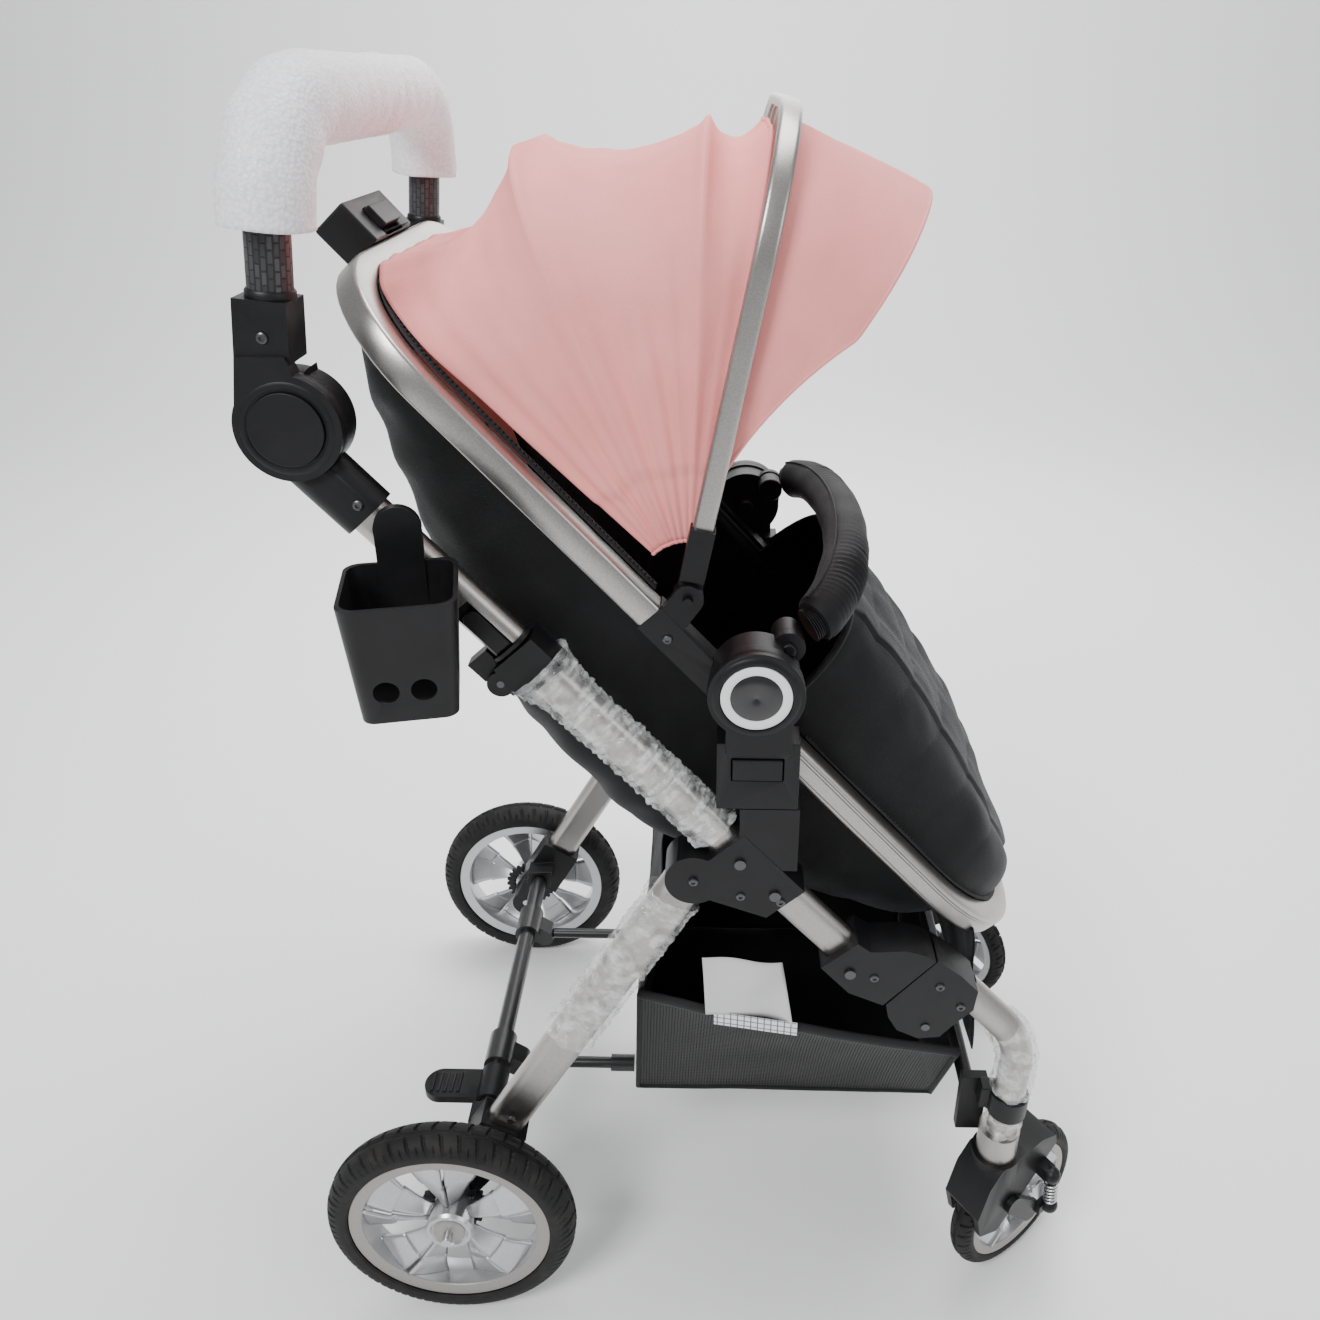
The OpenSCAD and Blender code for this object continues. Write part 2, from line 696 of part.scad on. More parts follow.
// Padded liner on the floor of the tub
function liner_row(s, lift) =
    let (w = min(145, ring_half(s, ring_w - ring_t / 2) - 26))
    [for (f = [-1, -0.6, 0, 0.6, 1]) let (q = on_ring(s, tub_depth(s) - lift - 14 * pow(abs(f), 4))) [q[0], f * w, q[1]]];
module seat_liner() {
    stations = [70, 140, 220, 300, 380, 450, 520, 600];
    color([0.62, 0.30, 0.29]) placed()
        skin([for (s = stations) liner_row(s, 11)], [for (s = stations) liner_row(s, 29)]);
}
// Cover over the child's legs, domed above the ring plane
function muff_high(s) = 26 + 74 * pow(max(0, cos(90 * (s - 478) / 362)), 0.8);
function muff_row(s, inset) =
    let (w = ring_half(s, ring_w - ring_t / 2 - 1) - inset, h = muff_high(s) - inset, c = min(70, w * 0.55, h - 8))
    [for (p = u_curve(w, 7.5, h, c)) let (q = on_ring(s, -p[1])) [q[0], p[0], q[1]]];
module footmuff() {
    stations = [478, 530, 590, 650, 710, 770, 810, 832];
    color(cloth) placed() skin([for (s = stations) muff_row(s, 9)], [for (s = stations) muff_row(s, 0)]);
}
// Shoulder and crotch straps with their buckle, lying on the liner
module strap(s0, s1, y0, y1, w) {
    function row(s, y, lift) = [for (f = [-1, 0, 1]) let (q = on_ring(s, tub_depth(s) - lift)) [q[0], y + f * w / 2, q[1]]];
    steps = 5;
    skin([for (i = [0:steps]) row(mix(s0, s1, i / steps), mix(y0, y1, i / steps), 33)],
         [for (i = [0:steps]) row(mix(s0, s1, i / steps), mix(y0, y1, i / steps), 36)]);
}
module harness() {
    color([0.03, 0.03, 0.03]) placed() {
        for (m = [-1, 1]) strap(170, 385, m * 55, m * 24, 25);
        strap(436, 480, 0, 0, 30);
        at(on_ring(410, tub_depth(410) - 37)) rotate([0, 90 + slope, 0]) rotate([0, 90, 0])
            cylinder(r = 24, h = 10, center = true);
    }
}
module recline_housing() {
    color(black) placed() ring_frame() difference() {
        translate([-14, -55, -52]) cube([34, 110, 39.4]);
        translate([-16, -24.4, -40.4]) cube([12, 48.8, 24.8]);
    }
}
module recline_lever() { color([0.35, 0.35, 0.36]) placed() ring_frame() translate([-20, -24, -40]) cube([13, 48, 20]); }

// ----------------------------------------------------------------- canopy

bow_deg = 78.3;
function on_canopy(phi, r) = canopy_pivot + r * [cos(phi), sin(phi)];
module bow_frame() {
    translate([canopy_pivot[0], 0, canopy_pivot[1]]) rotate([0, 90 - bow_deg, 0]) children();
}
bow_d = 12;
bow_bend = 105;
module canopy_bow() {
    color(silver) placed() bow_frame() {
        for (s = [-1, 1]) {
            translate([0, s * ring_w, 46]) cylinder(d = bow_d, h = bow_r - bow_bend - 46);
            translate([0, s * (ring_w - bow_bend), bow_r - bow_bend]) rotate([0, 0, s * 90])
                rotate([90, 0, 0]) rotate_extrude(angle = 90) translate([bow_bend, 0]) circle(d = bow_d);
        }
        translate([0, -(ring_w - bow_bend), bow_r]) rotate([-90, 0, 0]) cylinder(d = bow_d, h = 2 * (ring_w - bow_bend));
    }
}
// Feet of the bow, with the pins that turn in the ring connectors
module canopy_feet() {
    color(black) both_sides() {
        yrod(canopy_pivot, 12, -191.6, -181.6);
        yrod(canopy_pivot, 4, -204, -191);
        bow_frame() difference() {
            translate([-10, -195, 14.5]) cube([20, 15, 44]);
            translate([0, -ring_w, 46]) cylinder(d = bow_d, h = 20);
        }
        bow_frame() translate([-10, -191.6, 0]) cube([20, 10, 15]);
    }
}
function hood_row(phi, r0, inset) =
    [for (p = u_curve(canopy_w - inset, r0, bow_r - 10 - inset, 98)) let (q = on_canopy(phi, p[1])) [q[0], p[0], q[1]]];
module canopy() {
    steps = 8;
    phi0 = 135.4;
    phi1 = 80.5;
    color(pink) placed() skin([for (i = [0:steps]) hood_row(mix(phi0, phi1, i / steps), 48, 4)],
        [for (i = [0:steps]) hood_row(mix(phi0, phi1, i / steps), 48, 0)]);
}
// Visor in front of the bow: its lower edge climbs towards its tip
module visor() {
    steps = 6;
    color(pink) placed() skin([for (i = [0:steps]) hood_row(mix(79.9, 58.5, i / steps), mix(96, 236, i / steps), 4)],
        [for (i = [0:steps]) hood_row(mix(79.9, 58.5, i / steps), mix(96, 236, i / steps), 0)]);
}

// ------------------------------------------------------------- bumper bar

bumper_w = 176;
bumper_reach = 56;
bumper_deg = 25.7;
bar_r = 20;
function bumper_point(a) =
    let (r = 12 + bumper_reach * sin(a))
    [bumper_pivot[0] + r * cos(bumper_deg), -bumper_w * cos(a), bumper_pivot[1] + r * sin(bumper_deg)];
// A round tube swept along points that lie in the bar's plane
module swept(points, r, sides) {
    n = len(points);
    up = [sin(bumper_deg), 0, -cos(bumper_deg)];
    rings = [for (i = [0:n - 1])
        let (t = points[min(i + 1, n - 1)] - points[max(i - 1, 0)], side = cross(t / norm(t), up))
        for (k = [0:sides - 1]) points[i] + r * (cos(360 * k / sides) * side + sin(360 * k / sides) * up)];
    polyhedron(points = rings, faces = concat(
        [[for (k = [0:sides - 1]) sides - 1 - k]],
        [[for (k = [0:sides - 1]) (n - 1) * sides + k]],
        [for (i = [0:n - 2]) for (k = [0:sides - 1]) let (m = (k + 1) % sides) each
            [[i * sides + k, (i + 1) * sides + m, (i + 1) * sides + k], [i * sides + k, i * sides + m, (i + 1) * sides + m]]]));
}
module bumper_bar() {
    color(cloth) placed() swept([for (a = [15:12.5:165]) bumper_point(a)], bar_r, 14);
}
module bumper_clips() {
    color(black) both_sides() {
        yrod(bumper_pivot, 6, -204, -188);
        yrod(bumper_pivot, 13, -189.4, -166);
    }
}

// ----------------------------------------------------------------- basket

// Open tray of mesh: high at the back, and flared towards its rim
function tray(i) = [
    [178 + i, -125 + i, 156 + i], [500 - i, -125 + i, 156 + i], [500 - i, 125 - i, 156 + i], [178 + i, 125 - i, 156 + i],
    [188 + i, -186 + i, 358], [506 - i, -186 + i, 286], [506 - i, 186 - i, 286], [188 + i, 186 - i, 358]];
module basket() {
    sides = [[0, 1, 2, 3], [0, 4, 5, 1], [1, 5, 6, 2], [2, 6, 7, 3], [3, 7, 4, 0],
        [11, 10, 9, 8], [8, 9, 13, 12], [9, 10, 14, 13], [10, 11, 15, 14], [11, 8, 12, 15],
        [4, 12, 13, 5], [5, 13, 14, 6], [6, 14, 15, 7], [7, 15, 12, 4]];
    color(cloth) placed() polyhedron(points = concat(tray(0), tray(5)),
        faces = [for (f = sides) each [[f[0], f[1], f[2]], [f[0], f[2], f[3]]]]);
}

lower_tubes();
mid_brackets();
upper_knuckles();
fold_sockets();
frame_pins();
upper_tubes();
handle_arms();
fold_hinges();
color(black) right_side() fold_slider();  // fold_slider_right
color(black) left_side() fold_slider();  // fold_slider_left
handle_brackets();
handle_tube();
handle_sleeve();
color(black) right_side() hub_button();  // hub_button_right
color(black) left_side() hub_button();  // hub_button_left
lower_knuckles();
front_legs();
front_crossbar();
leg_clips();
color(black) right_side() fork();  // fork_right
color(black) left_side() fork();  // fork_left
color(black) right_side() suspension_arm();  // suspension_arm_right
color(black) left_side() suspension_arm();  // suspension_arm_left
color(silver) right_side() spring();  // spring_right
color(silver) left_side() spring();  // spring_left
color(silver) right_side() front_rim();  // front_rim_right
color(silver) left_side() front_rim();  // front_rim_left
color(black) right_side() front_tyre();  // front_tyre_right
color(black) left_side() front_tyre();  // front_tyre_left
rear_legs();
wheel_housings();
rear_crossbar();
basket_rods();
rear_axles();
brake_pedal();
color(silver) right_side() rear_rim();  // rear_rim_right
color(silver) left_side() rear_rim();  // rear_rim_left
color(black) right_side() rear_tyre();  // rear_tyre_right
color(black) left_side() rear_tyre();  // rear_tyre_left
seat_adapters();
hub_rings();
color(black) right_side() seat_latch();  // seat_latch_right
color(black) left_side() seat_latch();  // seat_latch_left
seat_ring_upper();
seat_ring_lower();
ring_connectors();
seat_tub();
seat_liner();
footmuff();
harness();
recline_housing();
recline_lever();
canopy_bow();
canopy_feet();
canopy();
visor();
bumper_bar();
bumper_clips();
basket();
cup_holder();
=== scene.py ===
import json
import math
from contextlib import contextmanager

import bmesh
import bpy
import numpy as np
from mathutils import Matrix, Vector, noise

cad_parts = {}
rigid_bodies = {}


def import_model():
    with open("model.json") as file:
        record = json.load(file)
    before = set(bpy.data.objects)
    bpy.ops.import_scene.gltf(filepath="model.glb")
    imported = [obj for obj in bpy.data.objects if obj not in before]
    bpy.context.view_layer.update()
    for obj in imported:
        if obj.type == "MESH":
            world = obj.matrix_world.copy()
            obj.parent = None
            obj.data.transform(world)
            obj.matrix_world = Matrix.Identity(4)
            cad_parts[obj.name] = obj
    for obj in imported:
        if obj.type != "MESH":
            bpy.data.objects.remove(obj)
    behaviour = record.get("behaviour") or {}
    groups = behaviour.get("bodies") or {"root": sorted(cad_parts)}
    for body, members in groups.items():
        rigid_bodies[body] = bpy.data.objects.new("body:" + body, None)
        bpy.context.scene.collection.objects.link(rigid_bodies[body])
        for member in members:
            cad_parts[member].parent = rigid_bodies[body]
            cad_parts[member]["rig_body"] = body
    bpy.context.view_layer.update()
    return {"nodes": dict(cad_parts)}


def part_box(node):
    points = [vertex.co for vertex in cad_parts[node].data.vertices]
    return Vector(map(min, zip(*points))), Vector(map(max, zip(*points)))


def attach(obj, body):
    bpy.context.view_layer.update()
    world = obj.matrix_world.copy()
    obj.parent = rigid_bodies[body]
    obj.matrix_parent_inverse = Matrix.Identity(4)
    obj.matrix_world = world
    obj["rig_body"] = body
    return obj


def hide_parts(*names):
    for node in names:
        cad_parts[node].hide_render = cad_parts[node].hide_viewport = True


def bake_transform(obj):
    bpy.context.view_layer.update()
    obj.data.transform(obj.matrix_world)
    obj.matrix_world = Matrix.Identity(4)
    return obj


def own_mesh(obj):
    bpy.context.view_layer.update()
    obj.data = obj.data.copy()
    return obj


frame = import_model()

# Points are written in millimetres from the rear axle's middle on the floor:
# X forwards, Y to the left, Z up, as the frame's own design is.
MM = 0.001
AXLE = (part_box("rear_axles")[0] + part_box("rear_axles")[1]) / 2
ORIGIN = np.array([AXLE.x, AXLE.y, 0.0])
SLOPE = math.radians(47.83)
ALONG = np.array([math.cos(SLOPE), 0, -math.sin(SLOPE)])
BELOW = np.array([-math.sin(SLOPE), 0, -math.cos(SLOPE)])
SIDE = np.array([0.0, 1.0, 0.0])
FRAME_Y = 213
ARM_END = np.array([-2.0, 0, 869])
RING_TOP = np.array([-21.0, 0, 1025])
RING_W, RING_T, RING_LEN, RING_R0, RING_R1 = 187, 24, 849, 92, 141
SEAT_HUB = np.array([292.0, 0, 722])
CANOPY_PIVOT = np.array([237.0, 0, 790])
BUMPER_PIVOT = np.array([318.0, 0, 748])
BOW_R, BOW_DEG, BOW_BEND = 364, 78.3, 105
HANDLE_HUB = np.array([-45.0, 0, 939])
GRIP_BASE, GRIP_LEAN, GRIP_RISE, GRIP_BEND = np.array([-50.0, 0, 1024]), math.radians(6), 127, 75
REAR_PIVOT, REAR_LEG_DEG = np.array([242.0, 0, 536]), math.radians(239.5)
LEG_FOOT = np.array([549.0, 0, 182])
CASTER_X, CASTER_Y, CASTER_TURN = 548, 210, math.radians(36)
REAR_R, FRONT_R, REAR_TRACK, TRAIL = 125, 85, 255, 40
BUMPER_DEG = math.radians(25.7)
BUMPER_REACH, BUMPER_HALF = 56, 176
HUB_FACE_Y = 231.7


def world(points):
    """Design millimetres to the frame's metres."""
    return np.asarray(points, float) * MM + ORIGIN


def on_tube(t, below=0.0, y=0.0):
    return ARM_END + ALONG * t + BELOW * below + SIDE * y


def on_ring(s, below=0.0, y=0.0):
    return RING_TOP + ALONG * s + BELOW * below + SIDE * y


def mix(a, b, f):
    return a + (b - a) * f


def ripple(p, scale, seed=0.0):
    """Smooth noise from -1 to 1 at a point in millimetres."""
    return noise.noise(Vector(p) * scale + Vector((seed, seed * 1.7, -seed)))


# ---------------------------------------------------------------- materials


def shader(name, color, roughness, metallic=0.0, **sockets):
    """A new material and its principled shader, with constants on the shader's own sockets."""
    material = bpy.data.materials.new(name)
    material.use_nodes = True
    principled = material.node_tree.nodes["Principled BSDF"]
    principled.inputs["Base Color"].default_value = (*color, 1)
    principled.inputs["Roughness"].default_value = roughness
    principled.inputs["Metallic"].default_value = metallic
    for socket, value in sockets.items():
        principled.inputs[socket.replace("_", " ")].default_value = value
    return material, principled


def add(material, kind, **inputs):
    """A node of that kind, with its inputs set."""
    node = material.node_tree.nodes.new(kind)
    for key, value in inputs.items():
        node.inputs[key.replace("_", " ")].default_value = value
    return node


def link(material, out, into):
    material.node_tree.links.new(out, into)


def place_on(material, texture, coordinates="Object", stretch=(1, 1, 1)):
    """Feeds a texture with object or UV coordinates, in metres."""
    source = add(material, "ShaderNodeTexCoord")
    mapping = add(material, "ShaderNodeMapping", Scale=stretch)
    link(material, source.outputs[coordinates], mapping.inputs["Vector"])
    link(material, mapping.outputs["Vector"], texture.inputs["Vector"])


def noise_texture(material, scale, detail=3.0, coordinates="Object", stretch=(1, 1, 1)):
    texture = add(material, "ShaderNodeTexNoise", Scale=scale, Detail=detail)
    place_on(material, texture, coordinates, stretch)
    return texture.outputs["Fac"]


def vary_color(material, principled, fac, dark, light, low=0.3, high=0.7):
    ramp = add(material, "ShaderNodeValToRGB")
    ramp.color_ramp.elements[0].position = low
    ramp.color_ramp.elements[0].color = (*dark, 1)
    ramp.color_ramp.elements[1].position = high
    ramp.color_ramp.elements[1].color = (*light, 1)
    link(material, fac, ramp.inputs["Fac"])
    link(material, ramp.outputs["Color"], principled.inputs["Base Color"])


def vary_roughness(material, principled, fac, low, high):
    spread = add(material, "ShaderNodeMapRange")
    spread.inputs["To Min"].default_value = low
    spread.inputs["To Max"].default_value = high
    link(material, fac, spread.inputs["Value"])
    link(material, spread.outputs["Result"], principled.inputs["Roughness"])


def add_bump(material, principled, height, distance, strength=1.0):
    bump = add(material, "ShaderNodeBump", Distance=distance, Strength=strength)
    link(material, height, bump.inputs["Height"])
    old = principled.inputs["Normal"].links
    if old:
        link(material, old[0].from_socket, bump.inputs["Normal"])
    link(material, bump.outputs["Normal"], principled.inputs["Normal"])


def math_node(material, operation, a, b=0.0):
    node = material.node_tree.nodes.new("ShaderNodeMath")
    node.operation = operation
    for i, value in enumerate((a, b)):
        if isinstance(value, (int, float)):
            node.inputs[i].default_value = value
        else:
            link(material, value, node.inputs[i])
    return node.outputs[0]


def weave_height(material, threads):
    """Over and under threads: two crossed sine waves, threads to the metre."""
    waves = []
    for axis in ("X", "Y"):
        wave = add(material, "ShaderNodeTexWave", Scale=threads / 6.283, Distortion=0.6, Detail=1.0)
        wave.bands_direction = axis
        place_on(material, wave, "UV")
        waves.append(wave.outputs["Fac"])
    return math_node(material, "MULTIPLY", waves[0], waves[1])


def finish(name, color, roughness, metallic=0.0, tint=None, rough=None, bump=None, **sockets):
    """A plain material. tint, rough and bump each start with their noise's (scale, detail)."""
    material, p = shader(name, color, roughness, metallic, **sockets)
    if tint:
        vary_color(material, p, noise_texture(material, *tint[0]), *tint[1:])
    if rough:
        vary_roughness(material, p, noise_texture(material, *rough[0]), *rough[1:])
    if bump:
        add_bump(material, p, noise_texture(material, *bump[0]), *bump[1:])
    return material


FINISHES = {
    "silver_tube": finish("silver_tube", (0.42, 0.405, 0.385), 0.32, 1.0, bump=((1400, 4), 0.00012, 0.5),
                          tint=((1400, 4), (0.34, 0.325, 0.305), (0.50, 0.485, 0.462)), rough=((18, 2), 0.26, 0.40)),
    "champagne_edge": finish("champagne_edge", (0.56, 0.50, 0.43), 0.36, 1.0, rough=((1300, 4), 0.28, 0.44),
                             bump=((1300, 4), 0.0001, 0.5)),
    "moulded_black": finish("moulded_black", (0.005, 0.005, 0.006), 0.38, bump=((1700, 3), 0.00012, 0.6),
                            tint=((26, 5), (0.0035, 0.0035, 0.0042), (0.008, 0.008, 0.009)),
                            rough=((26, 5), 0.34, 0.50), Specular_IOR_Level=0.30),
    "gloss_black": finish("gloss_black", (0.010, 0.010, 0.011), 0.16, rough=((40, 4), 0.12, 0.24),
                          Coat_Weight=0.4, Coat_Roughness=0.08),
    "white_print": finish("white_print", (0.80, 0.81, 0.82), 0.45, rough=((120, 2), 0.38, 0.52)),
    "zinc_screw": finish("zinc_screw", (0.10, 0.10, 0.105), 0.30, 0.9, rough=((300, 3), 0.22, 0.42)),
    "steel": finish("steel", (0.58, 0.58, 0.59), 0.25, 1.0, rough=((200, 3), 0.18, 0.36)),
    "painted_rod": finish("painted_rod", (0.014, 0.014, 0.015), 0.30, rough=((90, 4), 0.24, 0.42),
                          bump=((900, 2), 0.0001, 0.3), Coat_Weight=0.2),
    "rim_silver": finish("rim_silver", (0.56, 0.57, 0.585), 0.30, 0.85, rough=((500, 2), 0.26, 0.34),
                         tint=((500, 2), (0.50, 0.505, 0.515), (0.56, 0.57, 0.585)),
                         Coat_Weight=0.2, Coat_Roughness=0.2),
    "rim_band": finish("rim_band", (0.36, 0.345, 0.325), 0.46, 0.75, bump=((1200, 3), 0.0001, 0.4),
                       tint=((1200, 3), (0.31, 0.295, 0.275), (0.41, 0.395, 0.37))),
    "tyre_rubber": finish("tyre_rubber", (0.009, 0.009, 0.009), 0.55, bump=((700, 4), 0.0002, 0.5),
                          tint=((55, 6), (0.006, 0.006, 0.006), (0.030, 0.028, 0.025), 0.48, 0.9),
                          rough=((55, 6), 0.52, 0.78), Specular_IOR_Level=0.3),
    "label_white": finish("label_white", (0.62, 0.62, 0.615), 0.6, rough=((400, 3), 0.5, 0.7),
                          bump=((30, 3), 0.001, 0.3)),
    "pale_floor": finish("pale_floor", (0.93, 0.93, 0.93), 0.6, rough=((3, 3), 0.55, 0.68)),
}


def fabric(name, color, light, threads, roughness=0.85, sheen=0.25, sheen_tint=(1, 1, 1), cloud_scale=9):
    material, p = shader(name, color, roughness, 0.0, Sheen_Weight=sheen, Sheen_Roughness=0.4,
                         Sheen_Tint=(*sheen_tint, 1), Specular_IOR_Level=0.2)
    cloud = noise_texture(material, cloud_scale, 5)
    vary_color(material, p, cloud, color, light)
    add_bump(material, p, weave_height(material, threads), 0.0004, 0.45)
    add_bump(material, p, noise_texture(material, 60, 3), 0.0012, 0.25)
    return material


CLOTHS = {
    "pink_fabric": fabric("pink_fabric", (0.88, 0.300, 0.285), (0.95, 0.370, 0.350), 1500, 0.82, 0.06,
                          (1.0, 0.72, 0.70)),
    "black_fabric": fabric("black_fabric", (0.0028, 0.0029, 0.0033), (0.0075, 0.0077, 0.0085), 1500, 0.58, 0.07,
                           (0.8, 0.82, 0.88), 14),
    "liner_fabric": fabric("liner_fabric", (0.30, 0.085, 0.065), (0.42, 0.14, 0.11), 1200, 0.9, 0.35, (1, 0.7, 0.6)),
    "webbing": fabric("webbing", (0.009, 0.009, 0.010), (0.018, 0.018, 0.019), 900, 0.7, 0.1),
}


def mesh_fabric():
    """Knitted net: round holes on a staggered grid, cut by the alpha."""
    material, p = shader("mesh_fabric", (0.005, 0.005, 0.0055), 0.6, 0.0, Sheen_Weight=0.05)
    cells = add(material, "ShaderNodeTexVoronoi", Scale=330, Randomness=0.12)
    cells.feature = "DISTANCE_TO_EDGE"
    place_on(material, cells, "UV")
    solid = math_node(material, "LESS_THAN", cells.outputs["Distance"], 0.31)
    link(material, solid, p.inputs["Alpha"])
    add_bump(material, p, cells.outputs["Distance"], 0.0006, 0.6)
    return material


def reflective_strip():
    """Silver tape with a honeycomb of welded lines."""
    material, p = shader("reflective_strip", (0.78, 0.79, 0.80), 0.30, 0.6)
    cells = add(material, "ShaderNodeTexVoronoi", Scale=150, Randomness=0.0)
    cells.feature = "DISTANCE_TO_EDGE"
    place_on(material, cells, "UV")
    vary_color(material, p, cells.outputs["Distance"], (0.12, 0.12, 0.13), (0.82, 0.83, 0.84), 0.05, 0.12)
    return material


def foam_white():
    material, p = shader("foam_white", (0.86, 0.86, 0.885), 0.55, 0.0, Subsurface_Weight=0.15, Subsurface_Scale=0.004,
                         Sheen_Weight=0.2)
    cells = add(material, "ShaderNodeTexVoronoi", Scale=330, Randomness=1.0)
    place_on(material, cells)
    vary_color(material, p, cells.outputs["Distance"], (0.93, 0.93, 0.95), (0.76, 0.76, 0.80), 0.15, 0.75)
    vary_roughness(material, p, cells.outputs["Color"], 0.2, 0.75)
    add_bump(material, p, cells.outputs["Distance"], 0.0009, 0.7)
    return material


def woven_leather():
    """Leather strips plaited over and under each other round the tube."""
    material, p = shader("woven_leather", (0.02, 0.02, 0.022), 0.38, 0.0, Coat_Weight=0.15, Coat_Roughness=0.3)
    bricks = add(material, "ShaderNodeTexBrick", Scale=95.0, Mortar_Size=0.07, Mortar_Smooth=0.7,
                 Brick_Width=0.9, Row_Height=0.42, Color1=(1, 1, 1, 1), Color2=(0.35, 0.35, 0.35, 1))
    place_on(material, bricks, "UV")
    vary_color(material, p, bricks.outputs["Color"], (0.006, 0.006, 0.007), (0.050, 0.050, 0.054), 0.2, 0.95)
    vary_roughness(material, p, bricks.outputs["Color"], 0.5, 0.28)
    add_bump(material, p, bricks.outputs["Color"], 0.0016, 0.9)
    add_bump(material, p, noise_texture(material, 900, 3), 0.0003, 0.4)
    return material


def clear_film():
    """Thin crinkled packing film."""
    material, p = shader("clear_film", (0.93, 0.94, 0.94), 0.14, 0.0, Specular_IOR_Level=0.8, IOR=1.45,
                         Coat_Weight=0.5, Coat_Roughness=0.05)
    folds = noise_texture(material, 75, 6)
    cloudy = add(material, "ShaderNodeMapRange")
    cloudy.inputs["From Min"].default_value = 0.38
    cloudy.inputs["From Max"].default_value = 0.70
    cloudy.inputs["To Min"].default_value = 0.10
    cloudy.inputs["To Max"].default_value = 0.62
    link(material, folds, cloudy.inputs["Value"])
    link(material, cloudy.outputs["Result"], p.inputs["Alpha"])
    add_bump(material, p, noise_texture(material, 160, 5), 0.004, 0.8)
    return material


SPECIAL = (mesh_fabric, reflective_strip, foam_white, woven_leather, clear_film)
MATERIALS = {**FINISHES, **CLOTHS, **{maker.__name__: maker() for maker in SPECIAL}}

# ------------------------------------------------------------- mesh helpers


def shown(obj):
    """The object, put into the scene."""
    bpy.context.scene.collection.objects.link(obj)
    return obj


def make(name, points, faces, material, uvs=None, sharp=35):
    """A mesh object from points in millimetres. uvs holds one pair for each corner."""
    mesh = bpy.data.meshes.new(name)
    mesh.from_pydata([tuple(p) for p in world(points)], [], [tuple(int(i) for i in f) for f in faces])
    if uvs is not None:
        layer = mesh.uv_layers.new(name="UVMap")
        layer.data.foreach_set("uv", np.asarray(uvs, np.float32).ravel())
    mesh.materials.append(MATERIALS[material])
    mesh.shade_smooth()
    if sharp:
        mesh.set_sharp_from_angle(angle=math.radians(sharp))
    return shown(bpy.data.objects.new(name, mesh))


def lengths(points):
    """Length so far along a line of points, in metres."""
    steps = np.linalg.norm(np.diff(points, axis=0), axis=1)
    return np.concatenate([[0], np.cumsum(steps)]) * MM


def grid(name, rows, material, closed=False, sharp=60, flip=False):
    """A sheet through rows of points. closed joins each row's end to its start."""
    rows = np.asarray(rows, float)
    m, n, _ = rows.shape
    u = lengths(rows.mean(axis=1)) if not closed else lengths(rows[:, 0])
    v = lengths(np.vstack([rows[m // 2], rows[m // 2][:1]]) if closed else rows[m // 2])
    faces, uvs = [], []
    for i in range(m - 1):
        for j in range(n if closed else n - 1):
            k = (j + 1) % n
            corner = [(i, j), (i, k), (i + 1, k), (i + 1, j)]
            spot = [(u[i], v[j]), (u[i], v[j + 1]), (u[i + 1], v[j + 1]), (u[i + 1], v[j])]
            if flip:
                corner.reverse()
                spot.reverse()
            faces.append([a * n + b for a, b in corner])
            uvs.extend(spot)
    return make(name, rows.reshape(-1, 3), faces, material, uvs, sharp)


def thicken(obj, depth, offset=-1.0):
    modifier = obj.modifiers.new("thickness", "SOLIDIFY")
    modifier.thickness = depth * MM
    modifier.offset = offset
    return obj


def frames(path, up, closed=False):
    """Tangent, side and up at each point of a path, turned as little as may be."""
    path = np.asarray(path, float)
    n = len(path)
    out = []
    lift = np.asarray(up, float)
    for i in range(n):
        after = path[(i + 1) % n] if closed or i < n - 1 else path[i]
        before = path[i - 1] if closed or i > 0 else path[i]
        tangent = (after - before) / np.linalg.norm(after - before)
        lift = lift - tangent * lift.dot(tangent)
        lift = lift / np.linalg.norm(lift)
        out.append((tangent, np.cross(tangent, lift), lift))
    return out


def sweep(name, path, section, material, up=(0, 0, 1), closed=False, caps=True, sharp=35):
    """section is a closed outline of (side, up) pairs, or a function of the path's index that gives one."""
    rings = []
    for i, (_, side, lift) in enumerate(frames(path, up, closed)):
        outline = section(i) if callable(section) else section
        rings.append([np.asarray(path[i]) + side * a + lift * b for a, b in outline])
    if closed:
        rings.append(rings[0])
    obj = grid(name, rings, material, closed=True, sharp=sharp)
    if caps and not closed:
        cap_ends(obj, len(rings), len(rings[0]))
    if closed:
        weld(obj)
    return obj


@contextmanager
def editing(mesh):
    work = bmesh.new()
    work.from_mesh(mesh)
    yield work
    work.to_mesh(mesh)
    work.free()


def cap_ends(obj, rows, n):
    with editing(obj.data) as work:
        work.verts.ensure_lookup_table()
        for start, step in ((0, 1), ((rows - 1) * n, -1)):
            face = work.faces.new([work.verts[start + k] for k in range(n)][::step])
            face.smooth = True
        bmesh.ops.recalc_face_normals(work, faces=work.faces)
    obj.data.set_sharp_from_angle(angle=math.radians(40))


def weld(obj):
    with editing(obj.data) as work:
        bmesh.ops.remove_doubles(work, verts=work.verts, dist=1e-6)
        bmesh.ops.recalc_face_normals(work, faces=work.faces)


def circle(radius, sides=24):
    return [(radius * math.cos(2 * math.pi * k / sides), radius * math.sin(2 * math.pi * k / sides))
            for k in range(sides)]


